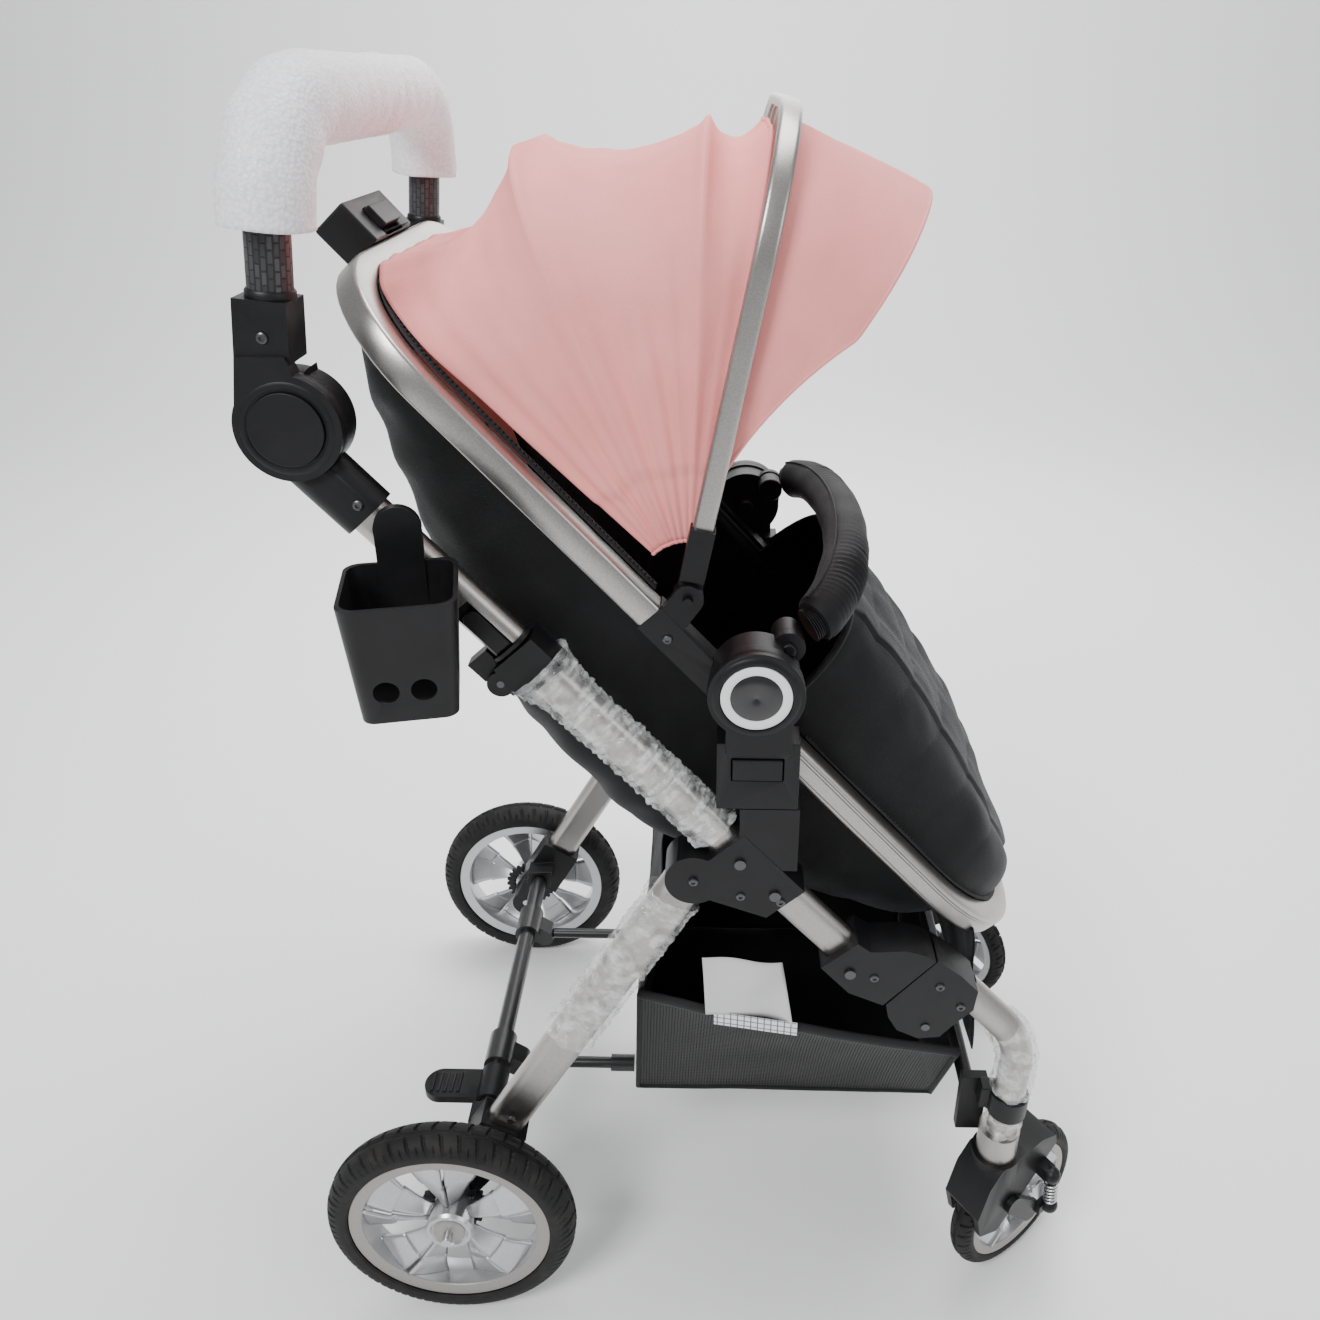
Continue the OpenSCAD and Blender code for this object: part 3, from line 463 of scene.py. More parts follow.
def rounded(width, height, radius, steps=5):
    """A rectangle's outline with round corners."""
    points = []
    for k, (sx, sy) in enumerate(((1, 1), (-1, 1), (-1, -1), (1, -1))):
        for j in range(steps + 1):
            a = math.pi / 2 * (k + j / steps)
            points.append((sx * (width / 2 - radius) + radius * math.cos(a),
                           sy * (height / 2 - radius) + radius * math.sin(a)))
    return points


def join(name, parts):
    """One object from several, each with its own material."""
    bpy.ops.object.select_all(action="DESELECT")
    for part in parts:
        part.select_set(True)
    bpy.context.view_layer.objects.active = parts[0]
    bpy.ops.object.join()
    parts[0].name = name
    return parts[0]


def copied(name, obj, moves=(), flip=False):
    """A copy of a piece, moved, and on the other side of the middle plane if flip is set."""
    copy = shown(obj.copy())
    copy.data = obj.data.copy()
    copy.name = name
    for move in moves:
        copy.data.transform(move)
    if flip:
        copy.data.transform(Matrix.Translation((0, 2 * ORIGIN[1], 0)) @ Matrix.Diagonal((1, -1, 1, 1)))
        copy.data.flip_normals()
    return copy


def mirrored(name, obj):
    return copied(name, obj, flip=True)


def settle(obj, body, slot, *nodes):
    """The piece rides on a body and stands for CAD nodes, which it hides. slot is not used."""
    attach(obj, body)
    if nodes:
        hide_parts(*nodes)
    return obj


def both(name, obj, body, slot):
    """The piece and its mirror image, on one body."""
    twin = mirrored(name + "_left", obj)
    obj.name = name + "_right"
    settle(obj, body, slot)
    settle(twin, body, slot)
    return obj, twin


# ------------------------------------------------------------ camera, light


CAMERA_SPOT, CAMERA_TURN = (260.2, -969.0, 1168.5), np.radians((-1.127, 25.194, -0.083))
CAMERA_LENS = {"lens": 29.64, "sensor_width": 36, "shift_x": -0.0288, "shift_y": -0.0586, "clip_end": 50}


def camera():
    yaw, pitch, roll = (float(angle) for angle in CAMERA_TURN)
    forward = Vector((math.sin(yaw) * math.cos(pitch), math.cos(yaw) * math.cos(pitch), -math.sin(pitch)))
    level = Vector((math.cos(yaw), -math.sin(yaw), 0))
    down = forward.cross(level)
    right = level * math.cos(roll) + down * math.sin(roll)
    up = level * math.sin(roll) - down * math.cos(roll)
    data = bpy.data.cameras.new("camera")
    for key, value in CAMERA_LENS.items():
        setattr(data, key, value)
    obj = shown(bpy.data.objects.new("camera", data))
    turn = Matrix((right, up, -forward)).transposed().to_4x4()
    obj.matrix_world = Matrix.Translation(Vector(world(CAMERA_SPOT))) @ turn
    bpy.context.scene.camera = obj


def area_light(name, spot, target, size, power):
    data = bpy.data.lights.new(name, "AREA")
    data.size = size
    data.energy = power
    obj = shown(bpy.data.objects.new(name, data))
    obj.location = spot
    obj.rotation_euler = (Vector(target) - Vector(spot)).to_track_quat("-Z", "Y").to_euler()


# Name, spot, target in metres, size in metres and power in watts
LAMPS = (
    ("key", (-1.3, -2.0, 2.7), (0, 0, 0.6), 1.0, 78), ("fill", (2.3, -1.6, 1.7), (0, 0, 0.6), 1.6, 18),
    ("top", (0.3, 0.4, 3.0), (0, 0, 0.5), 1.4, 44), ("back", (0.4, 2.2, 2.0), (0, 0, 0.7), 1.8, 22),
    ("wall", (0.0, 1.2, 3.4), (0, 4.8, 1.2), 2.6, 170),
)


def studio():
    """A floor that curves up into a wall behind the object, a pale sky and five soft lamps."""
    floor_z, bend_y, bend_r, half_wide = -0.0005, 2.6, 2.2, 14.0
    line = [(-12.0, floor_z), (bend_y, floor_z)]
    line += [(bend_y + bend_r * math.sin(a), bend_r - bend_r * math.cos(a) + floor_z)
             for a in np.linspace(0, math.pi / 2, 16)[1:]]
    line.append((4.8, 9.0))
    points = [(x, y, z) for y, z in line for x in (-half_wide, half_wide)]
    mesh = bpy.data.meshes.new("floor")
    mesh.from_pydata(points, [], [(2 * k, 2 * k + 1, 2 * k + 3, 2 * k + 2) for k in range(len(line) - 1)])
    mesh.materials.append(MATERIALS["pale_floor"])
    mesh.shade_smooth()
    shown(bpy.data.objects.new("floor", mesh))
    sky = bpy.data.worlds.new("studio")
    sky.use_nodes = True
    background = sky.node_tree.nodes["Background"].inputs
    background["Color"].default_value = (0.95, 0.97, 1.0, 1)
    background["Strength"].default_value = 0.48
    bpy.context.scene.world = sky
    for lamp in LAMPS:
        area_light(*lamp)


camera()
studio()

# ---------------------------------------------------- CAD nodes with bevels


EDGE_DEG = 38


def bevelled(node, material, slot, width):
    """A copy of a moulded CAD node with its edges rounded, in place of the node."""
    source = frame["nodes"][node]
    mesh = source.data.copy()
    mesh.materials.clear()
    mesh.materials.append(MATERIALS[material])
    with editing(mesh) as work:
        bmesh.ops.remove_doubles(work, verts=work.verts, dist=2e-6)
        bmesh.ops.dissolve_limit(work, angle_limit=math.radians(1.5), verts=work.verts, edges=work.edges)
    mesh.shade_smooth()
    mesh.set_sharp_from_angle(angle=math.radians(EDGE_DEG))
    obj = shown(bpy.data.objects.new("shell_" + node, mesh))
    bevel = obj.modifiers.new("edges", "BEVEL")
    bevel.width = width * MM
    bevel.segments = 2
    bevel.limit_method = "ANGLE"
    bevel.angle_limit = math.radians(EDGE_DEG)
    bevel.harden_normals = True
    bevel.miter_outer = "MITER_ARC"
    return settle(obj, source["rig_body"], slot, node)


BEVELLED_NODES = {
    "mid_brackets": 2.6, "upper_knuckles": 3.0, "lower_knuckles": 3.0, "fold_sockets": 1.6, "handle_arms": 2.4,
    "fold_hinges": 0.8, "fold_slider_right": 0.8, "fold_slider_left": 0.8, "handle_brackets": 2.6,
    "hub_button_right": 1.2, "hub_button_left": 1.2, "front_crossbar": 1.2, "leg_clips": 1.4,
    "fork_right": 3.2, "fork_left": 3.2, "suspension_arm_right": 1.6, "suspension_arm_left": 1.6,
    "wheel_housings": 2.4, "brake_pedal": 1.0, "seat_adapters": 2.4, "seat_latch_right": 1.2,
    "seat_latch_left": 1.2, "ring_connectors": 2.0, "recline_housing": 2.6, "canopy_feet": 1.4,
    "bumper_clips": 1.6, "cup_holder": 1.1,
}
for node_name, edge in BEVELLED_NODES.items():
    bevelled(node_name, "moulded_black", "moulded_black", edge)
bevelled("recline_lever", "moulded_black", "grey_lever", 1.4)

PLAIN_NODES = {
    "lower_tubes": "silver_tube", "upper_tubes": "silver_tube", "front_legs": "silver_tube",
    "rear_legs": "silver_tube", "rear_crossbar": "painted_rod", "basket_rods": "painted_rod",
    "frame_pins": "zinc_screw", "rear_axles": "steel",
}
for node_name, material_name in PLAIN_NODES.items():
    cad_mesh = frame["nodes"][node_name].data
    cad_mesh.materials.clear()
    cad_mesh.materials.append(MATERIALS[material_name])


def hub_rings():
    """White ring and glossy cap on each seat hub."""
    parts = []
    for inner, outer, high, material in ((20.9, 28.6, 2.6, "white_print"), (0.01, 20.7, 2.2, "gloss_black")):
        rise = [(inner, 0.0), (inner, high - 0.5), (inner + 0.6, high), (outer - 0.6, high),
                (outer, high - 0.5), (outer, 0.0)]
        rows = [[SEAT_HUB + np.array([r * math.cos(a), -HUB_FACE_Y - h, r * math.sin(a)]) for r, h in rise]
                for a in np.linspace(0, 2 * math.pi, 73)]
        part = grid("hub_ring_part", rows, material, sharp=50)
        weld(part)
        parts.append(part)
    ring = join("hub_ring", parts)
    right, _ = both("hub_ring", ring, "seat_carrier", "white_ring")
    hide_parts("hub_rings")


hub_rings()


def screw(name, centre, body):
    """A pan head screw with a hexagon socket, and its mirror image."""
    axis = Vector((0, -1, 0))
    flat = axis.orthogonal().normalized()
    across = axis.cross(flat)
    rise = [(0.01, 0.4, 6), (0.45, 0.4, 6), (0.46, 1.5, 6), (0.72, 1.6, 24), (0.93, 1.1, 24), (1.0, 0.2, 24),
            (1.0, -1.5, 24)]
    rows = []
    for k in range(25):
        a = 2 * math.pi * k / 24
        row = []
        for share, high, sides in rise:
            r = share * 4.2
            if sides == 6:
                r = r * math.cos(math.pi / 6) / math.cos((a % (math.pi / 3)) - math.pi / 6)
            rim_point = flat * math.cos(a) * r + across * math.sin(a) * r + axis * high
            row.append(np.asarray(centre) + np.array(rim_point))
        rows.append(row)
    obj = grid(name, rows, "zinc_screw", sharp=30)
    weld(obj)
    both(name, obj, body, "steel_pin")


SCREWS = (
    ("screw_bracket_a", (318, -230.2, 502 + 12), "chassis"), ("screw_bracket_b", (283, -230.2, 520), "chassis"),
    ("screw_bracket_c", (242, -231.2, 536), "chassis"), ("screw_knuckle_a", (405, -232.2, 430), "chassis"),
    ("screw_knuckle_b", (465, -231.8, 420), "front_frame"), ("screw_knuckle_c", (486, -231.8, 396), "front_frame"),
    ("screw_handle", (-53, -231.2, 1003), "handle"), ("screw_arm", (-4, -228.4, 880), "push_frame"),
    ("screw_ring_end", tuple(on_ring(362, 2, -199.2)), "seat"),
    ("screw_housing_a", (62, -228.6, 232), "rear_frame"),
)
for screw_name, spot, rider in SCREWS:
    screw(screw_name, spot, rider)

# -------------------------------------------------------------------- wheels


def tread_height(turn, across, lugs):
    """Height of the tread block at a turn share and a place across the tyre from -1 to 1."""
    side = abs(across)
    if side < 0.10:
        return -1.0
    phase = (turn * lugs + 0.42 * side + (0.5 if across > 0 else 0.0)) % 1.0
    groove = min(phase, 1 - phase) < 0.075
    notch = side > 0.55 and min(abs(phase - 0.5), 0.5) < 0.05
    return -1.0 if groove or notch else 0.0


def wheel_grid(name, profile, turns, material, sharp=40, spot=(0, 0, 0)):
    """profile(turn) gives (radius, across) pairs in millimetres, turned about the Y axis through spot."""
    rows = []
    for i in range(turns + 1):
        share = (i % turns) / turns
        a = 2 * math.pi * share
        rows.append([(spot[0] + r * math.cos(a), y, spot[2] + r * math.sin(a)) for r, y in profile(share)])
    obj = grid(name, rows, material, sharp=sharp)
    weld(obj)
    return obj


def tyre(name, radius, half, depth, lugs):
    """Round section tyre with blocks cut in its tread."""
    def profile(share):
        points = [(radius - depth + 0.2, -half * 0.80), (radius - depth - 0.4, -half * 0.88),
                  (radius - depth + 1.2, -half * 0.97), (radius - depth * 0.72, -half)]
        for k in range(27):
            across = -1 + 2 * k / 26
            a = across * math.radians(84)
            y = half * math.sin(a)
            bulge = radius - half * 0.86 * (1 - math.cos(a))
            cut = 2.3 * tread_height(share, across, lugs) * (1 - abs(across) ** 6)
            points.append((bulge + cut, y))
        points += [(r, -y) for r, y in reversed(points[:4])]
        return points
    return wheel_grid(name, profile, 16 * lugs, "tyre_rubber", 30)


def lathe(name, outline, material, turns=96, sharp=30, spot=(0, 0, 0)):
    return wheel_grid(name, lambda share: outline, turns, material, sharp, spot)


def spoke(start, width0, width1, r0, r1, half):
    """One bevelled paddle, folded across its middle, thick and tapered."""
    rows = []
    fold = mix(r0, r1, 0.56)
    for r in np.concatenate([np.linspace(r0, fold, 7), [fold + 0.8], np.linspace(fold + 4, r1, 8)]):
        share = (r - r0) / (r1 - r0)
        width = mix(width0, width1, share)
        step = 2.2 if r > fold + 0.5 else 0.0
        row = []
        for f in np.linspace(0, 1, 9):
            a = start + width * f
            rise = half * (0.62 - 0.95 * f) * mix(0.55, 1.0, share) + step
            row.append((r * math.cos(a), -rise - 0.18 * half * math.sin(math.pi * share), r * math.sin(a)))
        rows.append(row)
    return thicken(grid("spoke", rows, "rim_silver", sharp=25), 3.4)


def rim(name, radius, depth, half, hub, hub_half, pairs):
    """Rim with a matte band, paddle spokes in pairs, a stepped hub and a plain cap. -Y is its outer face."""
    outer = radius - depth - 0.3
    band = outer * 0.865
    outlines = (
        ("rim_band", 96, [(outer - 1.0, -half + 5), (outer, -half + 0.6), (outer - 0.8, -half - 0.6),
                          (band + 0.6, -half + 0.9), (band, -half + 1.6), (band, -half + 4), (outer - 3, -half + 6)]),
        ("rim_silver", 96, [(band, -half + 2.0), (band - 0.6, 0), (band, half - 2), (band + 0.6, half - 0.9),
                            (outer - 0.8, half + 0.4), (outer, half - 0.6), (outer - 0.2, 0),
                            (outer - 1.0, -half + 5)]),
        ("rim_silver", 64, [(5.3, -hub_half * 0.9), (hub * 0.80, -hub_half * 0.9), (hub * 0.86, -hub_half * 0.98),
                            (hub * 1.02, -hub_half * 0.98), (hub * 1.10, -hub_half * 0.82), (hub * 0.98, 0),
                            (hub * 0.92, hub_half * 0.9), (5.3, hub_half * 0.9)]),
        ("rim_band", 64, [(0.02, -hub_half - 0.9), (hub * 0.30, -hub_half - 0.85), (hub * 0.34, -hub_half - 0.4),
                          (hub * 0.66, -hub_half - 0.2), (hub * 0.74, -hub_half + 0.9), (hub * 0.74, -hub_half + 3)]),
    )
    parts = [lathe("rim_part", outline, material, turns) for material, turns, outline in outlines]
    step = 2 * math.pi / pairs
    wide0, wide1, slit = step * 0.27, step * 0.37, step * 0.014
    for k in range(pairs):
        middle = k * step + math.pi / 2
        for way in (1, -1):
            parts.append(spoke(middle + way * slit, way * wide0, way * wide1, hub, band + 1, half))
            bpy.context.view_layer.objects.active = parts[-1]
            bpy.ops.object.modifier_apply(modifier="thickness")
    return join(name, parts)


def brake_teeth(radius, y, teeth=24):
    """Toothed ring of the brake on the wheel's inner face."""
    rows = []
    for i in range(teeth * 4 + 1):
        a = 2 * math.pi * i / (teeth * 4)
        r = radius if (i % 4) in (0, 1) else radius - 4
        corners = ((r - 9, y), (r - 9, y + 4), (r, y + 4), (r, y))
        rows.append([(c * math.cos(a), h, c * math.sin(a)) for c, h in corners])
    obj = grid("teeth", rows, "moulded_black", closed=True, sharp=30)
    weld(obj)
    return obj


def wheels():
    """Each tyre and rim is made once at the origin, then copied into place on both sides."""
    rear = [tyre("rear_tyre", REAR_R, 19, 24, 44),
            join("rear_rim", [rim("rear_rim", REAR_R, 24, 15, 22, 18, 5), brake_teeth(34, 11)])]
    front = [tyre("front_tyre", FRONT_R, 13, 15, 34), rim("front_rim", FRONT_R, 15, 11, 13, 19, 5)]
    turn = (Matrix.Translation(Vector(world((CASTER_X, -CASTER_Y, 0)))) @ Matrix.Rotation(CASTER_TURN, 4, "Z")
            @ Matrix.Translation(-Vector(world((0, 0, 0)))))
    rear_moves = (Matrix.Translation((0, -REAR_TRACK * MM, REAR_R * MM)),)
    front_moves = (Matrix.Translation((TRAIL * MM, 0, FRONT_R * MM)), turn)
    for side in ("right", "left"):
        for end, sources, moves in (("rear", rear, rear_moves), ("front", front, front_moves)):
            for source, slot in zip(sources, ("tyre", "rim_silver")):
                obj = copied(f"{source.name}_{side}_wheel", source, moves, side == "left")
                settle(obj, f"{end}_wheel_{side}", slot, f"{source.name}_{side}")
    for source in rear + front:
        bpy.data.objects.remove(source)


wheels()


def caster_point(x, y, z):
    """A point in the right caster's own frame, to the design frame."""
    c, s = math.cos(CASTER_TURN), math.sin(CASTER_TURN)
    return np.array([CASTER_X + x * c - y * s, -CASTER_Y + x * s + y * c, z])


def springs():
    low, high = caster_point(57.6, -35, 99), caster_point(53.0, -35, 132)
    axis = (high - low) / np.linalg.norm(high - low)
    flat = np.cross(axis, (0, 1, 0))
    flat /= np.linalg.norm(flat)
    across = np.cross(axis, flat)
    turns, per_turn, coil_r = 6, 20, 6.2
    path = []
    for i in range(turns * per_turn + 1):
        a = 2 * math.pi * i / per_turn
        path.append(mix(low, high, i / (turns * per_turn)) + coil_r * (flat * math.cos(a) + across * math.sin(a)))
    coil = sweep("front_spring", path, circle(1.3, 10), "steel", up=axis)
    rod = sweep("spring_rod", [low, high], circle(3.2, 14), "moulded_black", up=flat)
    coil = join("front_spring", [coil, rod])
    twin = mirrored("front_spring_left", coil)
    coil.name = "front_spring_right"
    for obj, side, sign in ((coil, "right", 1), (twin, "left", -1)):
        settle(obj, "caster_" + side, "spring_steel", "spring_" + side)
        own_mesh(obj)


springs()

# ---------------------------------------------------- seat ring, canopy bow


def ring_path(s0, s1, offset=0.0):
    """Middle line of the ring round the end that lies between s0 and s1, as (s, y) pairs."""
    foot_end = s0 > 400
    corner = RING_R1 if foot_end else RING_R0
    middle = RING_LEN - corner if foot_end else corner
    way = 1 if foot_end else -1
    r = corner + offset
    points = [(s, -(RING_W + offset)) for s in np.linspace(s0 if foot_end else s1, middle, 12)]
    for a in np.linspace(0, math.pi / 2, 14)[1:]:
        points.append((middle + way * r * math.sin(a), -(RING_W - corner) - r * math.cos(a)))
    return points + [(s, -y) for s, y in reversed(points)]


def seat_ring(name, s0, s1, node):
    """Square tube with two drawn grooves on its outer face."""
    path = [on_ring(s, 0, y) for s, y in ring_path(s0, s1)]
    half = RING_T / 2 - 0.2
    section = [(half, half - 3), (half - 1, half - 1), (half - 3, half), (-half + 3, half), (-half + 1, half - 1),
               (-half, half - 3), (-half, -half + 3), (-half + 1, -half + 1), (-half + 3, -half), (half - 3, -half),
               (half - 1, -half + 1), (half, -half + 3), (half, -7.6), (half - 0.9, -7.0), (half, -6.4), (half, 0),
               (half, 4.0), (half - 0.9, 4.6), (half, 5.2), (half, 6.6), (half - 0.9, 7.2), (half, 7.8)]
    tube = sweep(name, path, [(-a, -b) for a, b in section], "silver_tube", up=BELOW, sharp=22)
    return settle(tube, "seat", "silver_tube", node)


def u_line(w, h0, h1, corner, count):
    """Points evenly spaced along a U: up at -w, round two corners, down at w."""
    half = [(-w, h0)]
    for a in np.linspace(0, math.pi / 2, 18):
        half.append((-w + corner - corner * math.cos(a), h1 - corner + corner * math.sin(a)))
    line = np.array(half + [(-y, h) for y, h in reversed(half)])
    far = np.concatenate([[0], np.cumsum(np.linalg.norm(np.diff(line, axis=0), axis=1))])
    spots = np.linspace(0, far[-1], count)
    return np.stack([np.interp(spots, far, line[:, 0]), np.interp(spots, far, line[:, 1])], 1)


def on_canopy(degrees, radius, y):
    a = math.radians(degrees)
    return CANOPY_PIVOT + np.array([radius * math.cos(a), y, radius * math.sin(a)])


def canopy_bow():
    path = [on_canopy(BOW_DEG, h, y) for y, h in u_line(RING_W, 58, BOW_R, BOW_BEND, 110)]
    lean = math.radians(BOW_DEG)
    up = (math.sin(lean), 0, -math.cos(lean))
    bow = sweep("bow_band", path, rounded(9.5, 17.0, 3.6), "silver_tube", up=up)
    line = [p + 5.1 * side for p, (_, side, _) in zip(path, frames(path, up))]
    bead = sweep("bow_bead", line, rounded(1.2, 5.0, 0.5, 3), "champagne_edge", up=up)
    settle(join("bow_band", [bow, bead]), "bow", "silver_tube", "canopy_bow")


seat_ring("ring_upper", 0, 338, "seat_ring_upper")
seat_ring("ring_lower", 511, RING_LEN, "seat_ring_lower")
canopy_bow()

# -------------------------------------------------------------------- canopy

RIBS = ((112.5, 350.0), (88.0, 341.0))
HOOD_BACK, HOOD_FRONT = 135.6, 80.0


def hood_radius(degrees):
    """Top radius of the cloth: high over the ribs, hollow between them."""
    knots = [(HOOD_BACK, 343.0, 0), RIBS[0] + (22,), RIBS[1] + (17,), (HOOD_FRONT, 346.0, 17)]
    for (a0, r0, _), (a1, r1, sag) in zip(knots, knots[1:]):
        if a1 <= degrees <= a0:
            f = (a0 - degrees) / (a0 - a1)
            half = math.radians(a0 - a1) / 2
            chord = mix(r0, r1, f) * math.cos(half) / math.cos(abs(2 * f - 1) * half)
            ridge = sum(4.4 * math.exp(-((degrees - a) / 0.8) ** 2) for a, _ in RIBS)
            return chord - sag * math.sin(math.pi * f) ** 0.8 + ridge
    return knots[-1][1]


def flat_size(rows):
    """Width and length of the cloth as cut, in metres."""
    rows = np.array(rows)
    length = np.mean([lengths(rows[:, j])[-1] for j in range(0, rows.shape[1], 6)])
    return float(lengths(rows[(len(rows) - 1) // 2])[-1]), float(length)


def stretch(cloth):
    """Bakes the cloth's transform into its mesh."""
    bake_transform(cloth)


def canopy():
    count, steps = 150, 120
    rows = []
    for i in range(steps + 1):
        degrees = mix(HOOD_BACK, HOOD_FRONT, i / steps)
        top = hood_radius(degrees)
        row = []
        for y, r in u_line(176, 40, top, 96, count):
            side = min(1.0, abs(y) / 176)
            share = r / top
            pleat = math.sin(math.radians(degrees) * 34 + 5 * ripple((degrees * 6, 0, r * 0.15), 0.02, 3))
            pleat += 0.6 * math.sin(math.radians(degrees) * 71 + 2.0)
            drape = ripple((degrees * 5, y * 0.35, r), 0.016, 7) * 6 + ripple((degrees * 9, y, r), 0.035, 11) * 2.2
            near_rib = min(1.0, min(abs(degrees - a) for a, _ in RIBS) / 4)
            fold = 2.3 * pleat * (0.30 + 0.70 * (1 - share)) + drape * 0.75 * near_rib * share
            fold *= side ** 3 * min(1, share * 2)
            hollow = 10 * side ** 3 * share * near_rib * math.sin(math.pi * min(1, share))
            inward = -math.copysign(1, y) * (hollow + fold * 0.8 + 1.5) if side > 0.4 else 0.0
            lift = ripple((degrees * 8, y * 1.2, 0), 0.03, 5) * 3.5 + ripple((degrees * 3, y, 0), 0.011, 9) * 3
            lift *= (1 - side ** 4) * near_rib
            edge = 4.0 * (1 - share) if share < 0.3 else 0.0
            row.append(on_canopy(degrees, r + lift, y + inward - math.copysign(edge, y)))
        rows.append(row)
    cloth = grid("canopy_hood", rows, "pink_fabric", sharp=0, flip=True)
    thicken(cloth, 1.2, 0)
    stretch(cloth)
    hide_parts("canopy")
    return cloth, rows, flat_size(rows)


HOOD, HOOD_ROWS, HOOD_FLAT = canopy()


def piping(name, points, radius, material, body, slot):
    return settle(sweep(name, points, circle(radius, 8), material, up=SIDE, sharp=0), body, slot)


def hood_hems():
    """Front binding, and hems along both sides."""
    piping("hood_front_hem", HOOD_ROWS[-1], 1.7, "pink_fabric", "bow", "pink_fabric")
    for k, side in ((0, "right"), (-1, "left")):
        line = [row[k] for row in HOOD_ROWS]
        stretch(sweep("hood_side_hem_" + side, line, circle(1.8, 8), "pink_fabric", up=SIDE, sharp=0))


hood_hems()


def visor():
    count, steps = 120, 60
    rows = []
    for i in range(steps + 1):
        f = i / steps
        degrees = mix(77.6, 58.6, f)
        low = mix(84, 236, f ** 1.15)
        top = 352 - 3.5 * f - 5 * math.sin(math.pi * f)
        row = []
        for y, r in u_line(178 - 2 * f, low, top, 98 - 4 * f, count):
            side = min(1.0, abs(y) / 176)
            soft = ripple((degrees * 6, y, r), 0.010, 21) * 2.6 + ripple((degrees * 9, y, r), 0.03, 17) * 0.7
            bulge = 4.0 * side ** 3 * math.sin(math.pi * f)
            push = math.copysign(1, y) * (soft * side - 2.5 + bulge * 0.4) if side > 0.3 else 0.0
            row.append(on_canopy(degrees, r + soft * (1 - side ** 3), y + push))
        rows.append(row)
    cloth = grid("canopy_visor", rows, "pink_fabric", sharp=0, flip=True)
    thicken(cloth, 2.4, 0)
    settle(cloth, "bow", "pink_fabric", "visor")
    edge = [row[0] for row in rows] + list(rows[-1][1:-1]) + [row[-1] for row in reversed(rows)]
    padded = np.array([edge[0]] + edge + [edge[-1]])
    piping("visor_hem", (padded[:-2] + padded[1:-1] + padded[2:]) / 3, 1.9, "pink_fabric", "bow", "pink_fabric")
    return cloth, flat_size(rows)


VISOR, VISOR_FLAT = visor()


# ---------------------------------------------------------------- seat fabric


def ring_half(s, w):
    """Half width of a line that lies inside the ring, w from its middle on the straight."""
    e = RING_W - w
    r0, r1 = RING_R0 - e, RING_R1 - e
    a, b = s - e, RING_LEN - e - s
    if a < r0:
        return w - r0 + math.sqrt(max(0, r0 * r0 - (r0 - a) ** 2))
    if b < r1:
        return w - r1 + math.sqrt(max(0, r1 * r1 - (r1 - b) ** 2))
    return w


def tub_depth(s):
    if s < 460:
        return 18 + 172 * math.sin(math.pi / 2 * (s - 10) / 450) ** 0.9
    return 190 - 176 * ((s - 460) / 375) ** 1.7


def seat_tub():
    """The black shell of the seat: slack cloth with seams, gathers and a turned rim."""
    rows = []
    count = 140
    for s in np.linspace(14, 834, 130):
        w = ring_half(s, RING_W - RING_T / 2 - 1.5)
        d = tub_depth(s) - 3
        corner = max(6, min(62, w * 0.6, (d + 6) * 0.8))
        row = []
        for y, h in u_line(w, -7, d, corner, count):
            side = abs(y) / max(w, 1)
            share = max(0, h / max(d, 1))
            slack = ripple((s * 0.8, y * 0.8, h), 0.014, 31) * 6.5 + ripple((s, y, h), 0.034, 37) * 3.0
            slack += 1.6 * math.sin(s * 0.11 + 3 * ripple((s, 0, h), 0.012, 5)) * min(1, share * 1.6)
            slack = min(slack, 4.0) * min(1, share * 2.5) * min(1, (s - 14) / 60) * min(1, (834 - s) / 60)
            seam = -2.2 * math.exp(-((s - 300) / 3.0) ** 2) - 2.2 * math.exp(-((s - 560) / 3.0) ** 2)
            inward = -math.copysign(1, y) * (2.5 - slack * 0.8 - seam) * min(1, share * 3) * min(1, side ** 2 * 1.2)
            row.append(on_ring(s, h + (slack + seam) * (1 - side ** 4) - 1.5, y + inward))
        rows.append(row)
    tub = grid("seat_tub_cloth", rows, "black_fabric", sharp=0)
    thicken(tub, 5.0, -1)
    return settle(tub, "seat", "black_fabric", "seat_tub")


def seat_liner():
    """Padded inner seat: channels across the back, crowned between them."""
    rows = []
    for s in np.linspace(66, 604, 150):
        w = min(146, ring_half(s, RING_W - RING_T / 2) - 20)
        row = []
        for f in np.linspace(-1, 1, 70):
            crown = 1 - abs(f) ** 6
            channel = abs(math.sin((s - 66) * math.pi / 78)) ** 0.45
            edge = min(1, (s - 62) / 26, (608 - s) / 26)
            puff = 17 * channel * crown * max(0, edge) + 1.5 * ripple((s, f * w, 0), 0.03, 41)
            wing = 46 * max(0, abs(f) - 0.72) ** 1.5 / 0.28 ** 1.5 * 0.5
            row.append(on_ring(s, tub_depth(s) - 12 - puff - wing, f * w))
        rows.append(row)
    liner = grid("seat_pad", rows, "liner_fabric", sharp=0, flip=True)
    thicken(liner, 8.0, -1)
    return settle(liner, "seat", "liner_fabric", "seat_liner")


